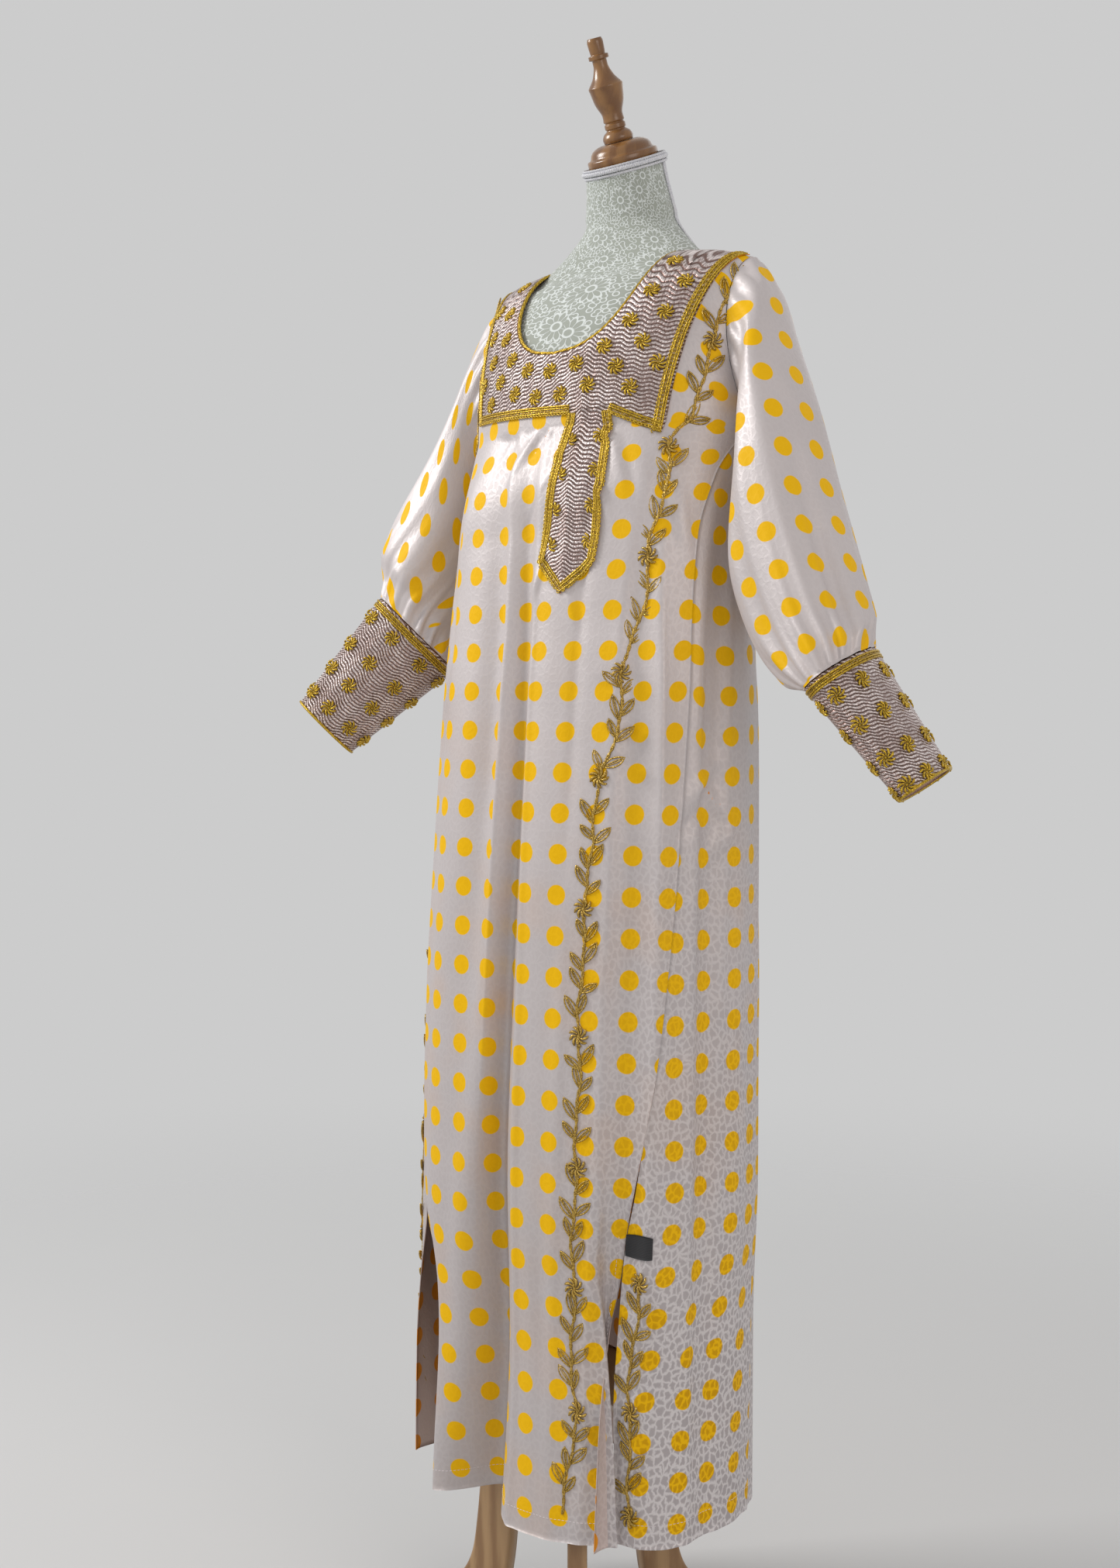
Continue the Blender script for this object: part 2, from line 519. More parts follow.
satin = dict(
    ground=(0.590, 0.540, 0.538), web=(0.70, 0.66, 0.66), cell=(0.41, 0.372, 0.378),
    dot=(0.86, 0.490, 0.0), dotDark=(0.56, 0.285, 0.0), inside=(0.68, 0.47, 0.39), insideDot=(0.72, 0.26, 0.015),
    warm=(0.66, 0.47, 0.36), grey=(0.46, 0.420, 0.418),  # bloom from the other layer, grey toward the hem
    pitch=0.0455, radius=0.0114, pebble=0.0090,
)


def satinMaterial(name, dotShift, ground, dot, pebbleShare=1.0):
    # jacquard satin: pebble web woven into the ground, with printed dots on a straight grid
    mat, tree, bsdf = newMaterial(name, ground, 0.42)
    uv, u, v = clothAxes(tree)
    place = addNode(tree, "NewGeometry").outputs["Position"]
    spot = addNode(tree, "SeparateXYZ")
    tree.links.new(place, spot.inputs[0])
    pitch = satin["pitch"]
    cu = maths(tree, "FRACT", maths(tree, "MULTIPLY_ADD", u, 1 / pitch, 0.5 - dotShift[0] / pitch + 40))
    cv = maths(tree, "FRACT", maths(tree, "MULTIPLY_ADD", v, 1 / pitch, 0.5 - dotShift[1] / pitch + 40))
    du, dv = maths(tree, "SUBTRACT", cu, 0.5), maths(tree, "SUBTRACT", cv, 0.5)
    wobble = addNode(tree, "TexNoise", noise_dimensions="2D")
    wobble.inputs["Scale"].default_value = 160
    tree.links.new(uv, wobble.inputs["Vector"])
    away = maths(tree, "SQRT", maths(tree, "MULTIPLY_ADD", du, du, maths(tree, "MULTIPLY", dv, dv)))
    away = maths(tree, "MULTIPLY_ADD", wobble.outputs[0], 0.012, away)
    edge = satin["radius"] / pitch + 0.006
    dots = ramp(tree, away, edge + 0.012, edge - 0.012)
    cells = addNode(tree, "TexVoronoi", voronoi_dimensions="2D", feature="DISTANCE_TO_EDGE")
    cells.inputs["Scale"].default_value = 1 / satin["pebble"]
    waver = addNode(tree, "TexNoise", noise_dimensions="2D")
    waver.inputs["Scale"].default_value = 170
    waver.inputs["Detail"].default_value = 1
    tree.links.new(uv, waver.inputs["Vector"])
    pushed = addNode(tree, "VectorMath", operation="MULTIPLY_ADD")
    tree.links.new(waver.outputs["Color"], pushed.inputs[0])
    pushed.inputs[1].default_value = (0.005, 0.005, 0)
    tree.links.new(uv, pushed.inputs[2])
    stretch = addNode(tree, "VectorMath", operation="MULTIPLY")
    tree.links.new(pushed.outputs[0], stretch.inputs[0])
    stretch.inputs[1].default_value = (1.25, 0.86, 1)
    tree.links.new(stretch.outputs[0], cells.inputs["Vector"])
    web = ramp(tree, cells.outputs["Distance"], 0.27, 0.03)
    patch = addNode(tree, "TexNoise")
    patch.inputs["Scale"].default_value = 5.0
    patch.inputs["Detail"].default_value = 2.0
    tree.links.new(place, patch.inputs["Vector"])
    # the web shines where the cloth turns from the light, lower on the near side
    low = ramp(tree, maths(tree, "MULTIPLY_ADD", patch.outputs[0], 0.5, spot.outputs[2]), 1.35, 0.45)
    near = ramp(tree, spot.outputs[0], 0.02, 0.17)
    reach = maths(tree, "MULTIPLY_ADD", maths(tree, "MULTIPLY", low, near), 0.80 * pebbleShare, 0.07 * pebbleShare)
    dim, lit = tuple(g * 0.95 for g in ground), tuple(min(1, g * 1.03) for g in ground)
    tone = blendColour(tree, ramp(tree, patch.outputs[0], 0.35, 0.68), dim, lit)
    # the other layer's dots show through low down as a warm bloom, and the satin greys toward the hem
    bloom = addNode(tree, "TexNoise")
    bloom.inputs["Scale"].default_value = 9
    tree.links.new(place, bloom.inputs["Vector"])
    warm = maths(tree, "MULTIPLY", ramp(tree, bloom.outputs[0], 0.46, 0.66), ramp(tree, spot.outputs[2], 1.25, 0.70, 0.0, 0.5))
    tone = blendColour(tree, warm, tone, satin["warm"])
    tone = blendColour(tree, ramp(tree, spot.outputs[2], 1.30, 0.25, 0.0, 0.55), tone, satin["grey"])
    pebbles = blendColour(tree, web, satin["cell"], satin["web"])
    tone = blendColour(tree, reach, tone, pebbles)
    dotTone = blendColour(tree, maths(tree, "MULTIPLY", reach, maths(tree, "SUBTRACT", 1.0, web)), dot, satin["dotDark"])
    tone = blendColour(tree, dots, tone, dotTone)
    tree.links.new(tone, bsdf.inputs["Base Color"])
    shine = maths(tree, "MULTIPLY_ADD", dots, 0.10, maths(tree, "MULTIPLY_ADD", web, -0.06, 0.48))
    tree.links.new(maths(tree, "MULTIPLY_ADD", patch.outputs[0], 0.06, shine), bsdf.inputs["Roughness"])
    weave = addNode(tree, "TexWave", wave_type="BANDS", bands_direction="DIAGONAL")
    weave.inputs["Scale"].default_value = 420
    tree.links.new(uv, weave.inputs["Vector"])
    soft = addNode(tree, "TexNoise", noise_dimensions="2D")
    soft.inputs["Scale"].default_value = 17
    soft.inputs["Detail"].default_value = 1.5
    tree.links.new(uv, soft.inputs["Vector"])
    high = maths(tree, "MULTIPLY_ADD", soft.outputs[0], 1.1, maths(tree, "MULTIPLY", web, 0.07))
    high = maths(tree, "MULTIPLY_ADD", weave.outputs["Fac"], 0.02, high)
    bumpFrom(tree, bsdf, high, 0.5, 0.0022)
    tree.links.new(maths(tree, "MULTIPLY_ADD", dots, -0.20, 0.22), bsdf.inputs["Metallic"])
    tree.links.new(maths(tree, "MULTIPLY_ADD", dots, -0.42, 0.60), bsdf.inputs["Specular IOR Level"])
    bsdf.inputs["Anisotropic"].default_value = 0.45
    return mat


zari = dict(thread=(0.93, 0.84, 0.82), ground=(0.230, 0.140, 0.120), pitch=0.0043, wave=0.0190, swing=0.27, slant=0.42, meet=0.050)


def zariMaterial(name, meet):
    # rows of silver thread in wavy lines that slant to a middle line
    mat, tree, bsdf = newMaterial(name, zari["thread"], 0.34, 0.75)
    uv, u, v = clothAxes(tree)
    side = maths(tree, "ABSOLUTE", maths(tree, "SUBTRACT", u, meet))
    wave = maths(tree, "SINE", maths(tree, "MULTIPLY", u, 2 * math.pi / zari["wave"]))
    line = maths(tree, "MULTIPLY_ADD", side, zari["slant"] / zari["pitch"], maths(tree, "MULTIPLY", v, 1 / zari["pitch"]))
    line = maths(tree, "FRACT", maths(tree, "ADD", maths(tree, "MULTIPLY_ADD", wave, zari["swing"], line), 900.0))
    hump = maths(tree, "SINE", maths(tree, "MULTIPLY", line, math.pi))
    sparkle = addNode(tree, "TexNoise", noise_dimensions="2D")
    sparkle.inputs["Scale"].default_value = 420
    sparkle.inputs["Detail"].default_value = 2
    tree.links.new(uv, sparkle.inputs["Vector"])
    tide = addNode(tree, "TexNoise", noise_dimensions="2D")
    tide.inputs["Scale"].default_value = 26
    tree.links.new(uv, tide.inputs["Vector"])
    bright = maths(tree, "MULTIPLY", ramp(tree, hump, 0.30, 0.85), ramp(tree, sparkle.outputs[0], 0.36, 0.60, 0.30, 1.0))
    bright = maths(tree, "MULTIPLY", bright, ramp(tree, tide.outputs[0], 0.35, 0.65, 0.62, 1.0))
    tree.links.new(blendColour(tree, bright, zari["ground"], zari["thread"]), bsdf.inputs["Base Color"])
    tree.links.new(ramp(tree, sparkle.outputs[0], 0.35, 0.65, 0.24, 0.50), bsdf.inputs["Roughness"])
    bumpFrom(tree, bsdf, maths(tree, "MULTIPLY_ADD", sparkle.outputs[0], 0.9, hump), 1.0, 0.0013)
    return mat


def threadMaterial(name, light, dark, metal=0.72):
    # metal thread: fine twist, sparkle and darker valleys
    mat, tree, bsdf = newMaterial(name, light, 0.34, metal)
    place = addNode(tree, "TexCoord").outputs["Object"]
    twist = addNode(tree, "TexNoise")
    twist.inputs["Scale"].default_value = 700
    twist.inputs["Detail"].default_value = 2
    tree.links.new(place, twist.inputs["Vector"])
    tide = addNode(tree, "TexNoise")
    tide.inputs["Scale"].default_value = 45
    tree.links.new(place, tide.inputs["Vector"])
    share = maths(tree, "MULTIPLY_ADD", ramp(tree, twist.outputs[0], 0.36, 0.62), 0.72, maths(tree, "MULTIPLY", tide.outputs[0], 0.28))
    tree.links.new(blendColour(tree, share, dark, light), bsdf.inputs["Base Color"])
    tree.links.new(ramp(tree, twist.outputs[0], 0.35, 0.65, 0.48, 0.24), bsdf.inputs["Roughness"])
    bumpFrom(tree, bsdf, twist.outputs[0], 0.8, 0.0008)
    return mat


lace = dict(net=(0.340, 0.365, 0.320), thread=(0.68, 0.72, 0.70), cell=0.0062, flower=0.044)


def laceMaterial(name):
    # white lace over a pale cover: fine loops with round many-petalled flowers among them
    mat, tree, bsdf = newMaterial(name, lace["net"], 0.8)
    uv, u, v = clothAxes(tree)
    loops = addNode(tree, "TexVoronoi", voronoi_dimensions="2D", feature="F1")
    loops.inputs["Scale"].default_value = 1 / lace["cell"]
    tree.links.new(uv, loops.inputs["Vector"])
    ring = ramp(tree, maths(tree, "ABSOLUTE", maths(tree, "SUBTRACT", loops.outputs["Distance"], 0.40)), 0.14, 0.05)
    blooms = addNode(tree, "TexVoronoi", voronoi_dimensions="2D", feature="F1")
    blooms.inputs["Scale"].default_value = 1 / lace["flower"]
    blooms.inputs["Randomness"].default_value = 0.75
    tree.links.new(uv, blooms.inputs["Vector"])
    scaled = addNode(tree, "VectorMath", operation="SCALE")
    tree.links.new(uv, scaled.inputs[0])
    scaled.inputs["Scale"].default_value = 1 / lace["flower"]
    off = addNode(tree, "VectorMath", operation="SUBTRACT")
    tree.links.new(scaled.outputs[0], off.inputs[0])
    middle = addNode(tree, "VectorMath", operation="SCALE")
    tree.links.new(blooms.outputs["Position"], middle.inputs[0])
    middle.inputs["Scale"].default_value = 1 / lace["flower"]
    tree.links.new(middle.outputs[0], off.inputs[1])
    parts = addNode(tree, "SeparateXYZ")
    tree.links.new(off.outputs[0], parts.inputs[0])
    angle = maths(tree, "ARCTAN2", parts.outputs[1], parts.outputs[0])
    r = blooms.outputs["Distance"]
    petal = maths(tree, "ABSOLUTE", maths(tree, "SINE", maths(tree, "MULTIPLY", angle, 6.0)))
    rim = maths(tree, "SUBTRACT", r, maths(tree, "MULTIPLY_ADD", petal, 0.12, 0.24))
    outline = ramp(tree, maths(tree, "ABSOLUTE", rim), 0.045, 0.015)
    within = maths(tree, "MULTIPLY", ramp(tree, r, 0.10, 0.14), ramp(tree, rim, 0.02, -0.02))
    ribs = maths(tree, "MULTIPLY", ramp(tree, petal, 0.35, 0.12), within)
    eye = ramp(tree, maths(tree, "ABSOLUTE", maths(tree, "SUBTRACT", r, 0.10)), 0.035, 0.012)
    flower = maths(tree, "MAXIMUM", maths(tree, "MAXIMUM", outline, ribs), eye)
    inBloom = ramp(tree, rim, -0.01, 0.03)
    thread = maths(tree, "MAXIMUM", flower, maths(tree, "MULTIPLY", ring, inBloom))
    tree.links.new(blendColour(tree, thread, lace["net"], lace["thread"]), bsdf.inputs["Base Color"])
    fuzz = addNode(tree, "TexNoise", noise_dimensions="2D")
    fuzz.inputs["Scale"].default_value = 900
    tree.links.new(uv, fuzz.inputs["Vector"])
    bumpFrom(tree, bsdf, maths(tree, "MULTIPLY_ADD", fuzz.outputs[0], 0.3, thread), 0.7, 0.0008)
    bsdf.inputs["Sheen Weight"].default_value = 0.2
    return mat


def woodMaterial(name, light, dark, rough):
    mat, tree, bsdf = newMaterial(name, light, rough)
    place = addNode(tree, "TexCoord").outputs["Object"]
    long = addNode(tree, "VectorMath", operation="MULTIPLY")
    tree.links.new(place, long.inputs[0])
    long.inputs[1].default_value = (1, 1, 0.12)
    grain = addNode(tree, "TexNoise")
    grain.inputs["Scale"].default_value = 160
    grain.inputs["Detail"].default_value = 6
    grain.inputs["Distortion"].default_value = 0.6
    tree.links.new(long.outputs[0], grain.inputs["Vector"])
    bands = addNode(tree, "TexWave", wave_type="BANDS", bands_direction="X")
    bands.inputs["Scale"].default_value = 14
    bands.inputs["Distortion"].default_value = 7
    bands.inputs["Detail"].default_value = 3
    tree.links.new(long.outputs[0], bands.inputs["Vector"])
    share = maths(tree, "MULTIPLY_ADD", bands.outputs["Fac"], 0.45, maths(tree, "MULTIPLY", grain.outputs[0], 0.6))
    tree.links.new(blendColour(tree, ramp(tree, share, 0.25, 0.80), dark, light), bsdf.inputs["Base Color"])
    tree.links.new(ramp(tree, grain.outputs[0], 0.3, 0.7, rough - 0.06, rough + 0.10), bsdf.inputs["Roughness"])
    bumpFrom(tree, bsdf, grain.outputs[0], 0.25, 0.0006)
    bsdf.inputs["Coat Weight"].default_value = 0.35
    bsdf.inputs["Coat Roughness"].default_value = 0.22
    return mat


gold = dict(light=(0.80, 0.545, 0.050), dark=(0.23, 0.125, 0.006), vineLight=(0.68, 0.46, 0.10), vineDark=(0.20, 0.112, 0.016))
goldThread = threadMaterial("goldThread", gold["light"], gold["dark"], 0.62)
vineThread = threadMaterial("antiqueGoldThread", gold["vineLight"], gold["vineDark"], 0.60)
braidThread = threadMaterial("braidThread", (0.78, 0.78, 0.80), (0.50, 0.51, 0.56), 0.0)
seamThread = threadMaterial("seamThread", (0.84, 0.78, 0.79), (0.66, 0.60, 0.62), 0.0)
insideCloth = satinMaterial("satinInside", (0.0, 0.0), satin["inside"], satin["insideDot"], 0.3)
laceCover = laceMaterial("laceCover")
darkWood = woodMaterial("varnishedWood", (0.270, 0.130, 0.040), (0.165, 0.070, 0.020), 0.26)
lightWood = woodMaterial("legWood", (0.43, 0.265, 0.125), (0.27, 0.145, 0.060), 0.42)
print("materials made")

panels = dict(
    front=dict(cols=168, rows=210, upper=44, dots=(0.0135, 0.0155), width=0.585, length=1.475, area=0.800),
    back=dict(cols=168, rows=190, upper=40, dots=(0.010, 0.012), width=0.760, length=1.530, area=1.020),
)


def panelGrid(side, spec, neck):
    panel = "front" if side < 0 else "back"
    cols = spec["cols"] + 1
    t = np.linspace(0, 1, cols)
    rows = []
    for share in np.linspace(0, 1, spec["rows"]):
        zr = robe["hemZ"] + share * (robe["bustZ"] - robe["hemZ"])
        e = smoothRows(panelEdges, zr)
        pad = math.degrees(robe["seam"] / 2 / 0.19) * (1 - softStep((zr - 0.45) / 0.08))
        if side < 0:
            deg = (e[0] - pad) + t * ((e[2] + pad) - (e[0] - pad))
        else:
            deg = wrapDegrees((e[1] + pad) + t * ((e[3] + 360 - pad) - (e[1] + pad)))
        z = zr + np.interp(deg, hemLift[:, 0], hemLift[:, 1]) * max(0.0, 1 - share / 0.35)
        rows.append(ringPoint(deg, z, panel))
    rows[-1] = upperPoint(rows[-1][:, 0], np.zeros(cols), side)
    ends = round(cols * 0.14)
    x1, w1 = topEdge(ends, cols - 1 - 2 * ends, neck, side)
    x0 = rows[-1][:, 0]
    s = np.linspace(-1, 1, cols)
    for v in np.linspace(0, 1, spec["upper"] + 1)[1:] ** 0.9:
        x = x0 + (x1 - x0) * v**1.3 + np.sign(s) * 0.0125 * np.abs(s) ** 5 * math.sin(math.pi * v)
        row = upperPoint(x, np.minimum(w1 * v, 90.0), side)
        if v == 1.0:
            row[w1 >= 89.9, 1] += side * robe["gap"] / 2
        rows.append(row)
    return np.array(rows)


def clothUv(p, middle):
    # metres across from the middle column, and metres up from the hem
    step = np.linalg.norm(np.diff(p, axis=1), axis=-1)
    u = np.concatenate([np.zeros((len(p), 1)), np.cumsum(step, 1)], 1)
    u = u - u[:, middle : middle + 1]
    rise = np.linalg.norm(np.diff(p, axis=0), axis=-1)
    rise[: len(p) // 2] = np.diff(p[..., 2], axis=0)[: len(p) // 2]
    v = np.concatenate([p[:1, :, 2], p[:1, :, 2] + np.cumsum(rise, 0)], 0)
    return np.stack([u, v], -1)


def makePanel(name, side, neck):
    spec = panels[name]
    p = panelGrid(side, spec, neck)
    if side < 0:
        middle = int(np.abs(p[spec["rows"] - 1, :, 0]).argmin())
    else:
        middle = p.shape[1] // 2
    uv = clothUv(p, middle)
    uv[..., 0] *= -side
    mat = satinMaterial("satin_" + name, spec["dots"], satin["ground"], satin["dot"])
    ob = clothShell(name + "Panel", p, uv, -robe["wall"] / 2, robe["wall"] / 2, [mat, insideCloth], turn=side)
    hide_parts(name + "_panel")
    return p, uv


def report(name, ob):
    area = sum(q.area for q in ob.data.polygons)
    print(name, "faces", len(ob.data.polygons), "half area", round(area / 2, 4))


frontGrid = makePanel("front", -1, neckFront)[0]
report("front", bpy.data.objects["frontPanel"])
backGrid = makePanel("back", 1, neckBack)[0]
report("back", bpy.data.objects["backPanel"])
print("panels made")

sleeves = dict(
    near=dict(cols=176, steps=13, pleats=17, reach=0.0046, soften=12, axisUv=True, dots=(0.0, 0.010), width=0.455, length=0.46, area=0.175),
    far=dict(cols=176, steps=13, pleats=17, reach=0.0040, soften=90, axisUv=False, dots=(0.008, 0.0), width=0.455, length=0.46, area=0.150),
)
cuffLook = dict(wall=0.0016, cols=120, rows=56, width=0.335, length=0.150, area=0.040)


def unit(v):
    return np.asarray(v, float) / np.linalg.norm(v)


def cuffFrame(cuff, side):
    top = np.array(cuff["top"]) * (side, 1, 1)
    end = np.array(cuff["end"]) * (side, 1, 1)
    axis = unit(end - top)
    fore = unit(np.array([0, -1.0, 0]) - axis * axis.dot((0, -1.0, 0)))
    return top, end, axis, fore, side * np.cross(fore, axis)


def oval(middle, outer, fore, narrow, broad, roll, angle):
    r = math.radians(roll)
    v = fore * math.cos(r) + outer * math.sin(r)
    u = outer * math.cos(r) - fore * math.sin(r)
    a = angle[:, None]
    return middle + u * (-np.cos(a) * narrow) + v * (np.sin(a) * broad)


def sleeveGrid(table, cuff, side, spec):
    count = spec["cols"]
    a = np.arange(count) * 2 * math.pi / count
    top, end, axis, fore, outer = cuffFrame(cuff, side)
    col = 0 if side > 0 else -1
    f = along(frontGrid[panels["front"]["rows"] - 1 :, col], count // 2 + 1)
    b = along(backGrid[panels["back"]["rows"] - 1 :, col], count // 2 + 1)
    keys = [np.concatenate([f, b[::-1][1:-1]]) + (side * 0.0015, 0, 0)]
    for ox, oz, ix, iz, y, half, roll in table:
        o, i = np.array([side * ox, y, oz]), np.array([side * ix, y, iz])
        keys.append(oval((o + i) / 2, unit(o - i), np.array([0, -1.0, 0]), np.linalg.norm(o - i) / 2, half, roll, a))
    keys.append(oval(top - axis * 0.0010, outer, fore, cuff["narrow"][0], cuff["broad"][0], cuff["roll"], a))
    keys = np.array(keys)
    n = len(keys)
    cadSteps = [{0: 2, n - 2: 3, n - 3: 2}.get(k, 1) for k in range(n - 1)]
    total = sum(cadSteps)
    rings, at = [], []
    for k in range(n - 1):
        p0, p1, p2, p3 = keys[max(k - 1, 0)], keys[k], keys[k + 1], keys[min(k + 2, n - 1)]
        for j in range(spec["steps"]):
            t = j / spec["steps"]
            bend = (2 * p0 - 5 * p1 + 4 * p2 - p3) * t * t + (3 * p1 - p0 - 3 * p2 + p3) * t**3
            rings.append(0.5 * (2 * p1 + (p2 - p0) * t + bend))
            at.append(sum(cadSteps[:k]) + t * cadSteps[k])
    rings.append(keys[-1])
    at.append(total)
    rings, at = np.array(rings), np.array(at)
    phase = spec["pleats"] * a + 0.9 * np.sin(3 * a) + 0.5 * np.sin(5 * a + 1)
    for k in range(len(rings)):
        past = (rings[k] - top) @ axis + 0.0012 + 0.0065 * (total - at[k])
        rings[k] = rings[k] - np.maximum(past, 0)[:, None] * axis
    for step in range(spec["soften"]):
        rings[1:-1] = rings[1:-1] * 0.5 + (rings[2:] + rings[:-2]) * 0.25
    for k in range(len(rings)):
        low = softStep((at[k] - (total - 8.5)) / 6.0) * (1 if at[k] < total - 0.4 else 0.45)
        cap = float(np.exp(-((at[k] - 0.9) ** 2) / 1.1)) * softStep(at[k] / 0.8)
        crest = np.maximum(np.cos(phase), -0.35)
        ripple = crest * spec["reach"] * low * (0.75 + 0.25 * np.cos(2 * a + 0.7))
        ripple = ripple + np.cos(15 * a + 0.8 * np.sin(2 * a)) * 0.0024 * cap * (np.cos(a) < 0.35)
        drape = np.exp(-((at[k] - total * 0.52) / (total * 0.26)) ** 2)
        ripple = ripple + (np.cos(5 * a + 0.35 * at[k]) * 0.0036 + np.cos(9 * a - 0.5 * at[k] + 1) * 0.0016) * drape
        away = rings[k] - rings[k].mean(0)
        away = away / np.linalg.norm(away, axis=1)[:, None]
        rings[k] = rings[k] + away * ripple[:, None]
    return rings


def sleeveUv(rings, straight):
    # metres along the sleeve and round it from its outer line, with the seam under the arm
    loop = np.concatenate([rings, rings[:, :1]], 1)
    half = rings.shape[1] // 2
    if not straight:
        step = np.linalg.norm(np.diff(loop, axis=1), axis=-1)
        u = np.concatenate([np.zeros((len(rings), 1)), np.cumsum(step, 1)], 1)
        rise = np.linalg.norm(np.diff(loop, axis=0), axis=-1)
        v = -np.concatenate([np.zeros((1, half * 2 + 1)), np.cumsum(rise, 0)], 0)
        return np.stack([u - u[:, half : half + 1], v], -1)
    axis = unit(rings[-1].mean(0) - rings[0].mean(0))
    step = np.diff(loop, axis=1)
    step = step - (step @ axis)[..., None] * axis
    u = np.concatenate([np.zeros((len(rings), 1)), np.cumsum(np.linalg.norm(step, axis=-1), 1)], 1)
    u = u - u[:, half : half + 1]
    return np.stack([u, -((loop - rings[0].mean(0)) @ axis)], -1)


def tubeUv(rings, width):
    rows, count = rings.shape[:2]
    rise = np.linalg.norm(np.diff(rings, axis=0), axis=-1)
    v = np.concatenate([np.zeros((1, count)), -np.cumsum(rise, 0)], 0)
    v = np.concatenate([v, v[:, :1]], 1)
    u = np.broadcast_to(np.arange(count + 1) / count * width, v.shape)
    return np.stack([u, v], -1)


def cuffGrid(cuff, side, cols, rows, grow=0.0):
    a = np.arange(cols) * 2 * math.pi / cols
    top, end, axis, fore, outer = cuffFrame(cuff, side)
    out = []
    for t in np.linspace(0, 1, rows):
        narrow = cuff["narrow"][0] + (cuff["narrow"][1] - cuff["narrow"][0]) * t + grow
        broad = cuff["broad"][0] + (cuff["broad"][1] - cuff["broad"][0]) * t + grow
        out.append(oval(top + (end - top) * t, outer, fore, narrow, broad, cuff["roll"], a))
    return np.array(out)


cuffCloth = zariMaterial("zariCuff", 0.05)
for word, side, table, cuff, key in (("Left", 1, sleeveNear, cuffNear, "near"), ("Right", -1, sleeveFar, cuffFar, "far")):
    spec = sleeves[key]
    rings = sleeveGrid(table, cuff, side, spec)
    mat = satinMaterial("satin_sleeve" + word, spec["dots"], satin["ground"], satin["dot"], 0.55)
    turn = 1 if side < 0 else -1
    half = robe["wall"] / 2
    ob = clothShell("sleeve" + word, rings, sleeveUv(rings, spec["axisUv"]), -half, half, [mat, insideCloth], True, turn)
    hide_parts("sleeve_" + word.lower())
    report("sleeve" + word, ob)
    band = cuffGrid(cuff, side, cuffLook["cols"], cuffLook["rows"])
    half = cuffLook["wall"] / 2
    ob = clothShell("cuff" + word, band, tubeUv(band, 0.30), -half, half, [cuffCloth, insideCloth], True, turn)
    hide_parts("cuff_" + word.lower())
    report("cuff" + word, ob)
print("sleeves and cuffs made")

yoke = dict(cols=150, rows=54, tabRows=64, tabCols=34, low=0.0011, high=0.0023, width=0.390)


def yokeGrids():
    # the yoke from its lower edge to the neckline and shoulders, and the tab under it
    x1, w1 = topEdge(22, yoke["cols"] - 44, neckFront, -1)
    x1 = np.where(np.abs(x1) > 0.15, x1 * 0.965, x1)
    share = np.linspace(0, 1, len(x1))
    lowX = 0.143 - 0.286 * share
    lowZ = np.interp(lowX, yokeLow[:, 0], yokeLow[:, 1])
    bust = robe["bustZ"]
    h0 = np.where(lowZ >= bust, riseOf(lowX, np.maximum(lowZ, bust), -1), (lowZ - bust) * 286)
    rows = []
    for v in np.linspace(0, 0.995, yoke["rows"]):
        x = lowX + (x1 - lowX) * v
        h = h0 + (w1 - h0) * v
        lowRow = frontAt(x, bust + np.minimum(h, 0) / 286)
        rows.append(np.where((h >= 0)[:, None], upperPoint(x, np.maximum(h, 0), -1), lowRow))
    main = np.array(rows)
    rows = []
    f = np.linspace(0, 1, yoke["tabCols"])
    endZ, tipX, tipZ = tabSides[-1, 0], tabTip[0], tabTip[1]
    for g in np.linspace(1, 0, yoke["tabRows"]):
        topZ = tabSides[0, 0]
        left, right = smoothRows(tabSides[::-1], topZ + (endZ - topZ) * g)
        x = right + (left - right) * f
        tipAt = (right - tipX) / (right - left)
        drop = np.where(f < tipAt, f / tipAt, (1 - f) / (1 - tipAt))
        z = topZ + (endZ - (endZ - tipZ) * drop - topZ) * g
        rows.append(frontAt(x, z + (0.005 if g == 0 else 0)))
    return main, np.array(rows)


yokeCloth = zariMaterial("zariYoke", zari["meet"])
yokeMain, yokeTab = yokeGrids()
for name, grid in (("yokeMain", yokeMain), ("yokeTab", yokeTab)):
    flatUv = np.stack([grid[..., 0], grid[..., 2] - 0.5 * (grid[..., 1] + 0.05)], -1)
    high = yoke["high"] + (0.0001 if name == "yokeTab" else 0)
    ob = clothShell(name, grid, flatUv, yoke["low"], high, [yokeCloth, insideCloth], turn=-1)
    if name == "yokeMain":
        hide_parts("yoke")
    report(name, ob)

# Gold work: pinwheel flowers, corded bands with little scallops, vines
work = dict(petals=9, flowerR=0.0108, scallopStep=0.0046)


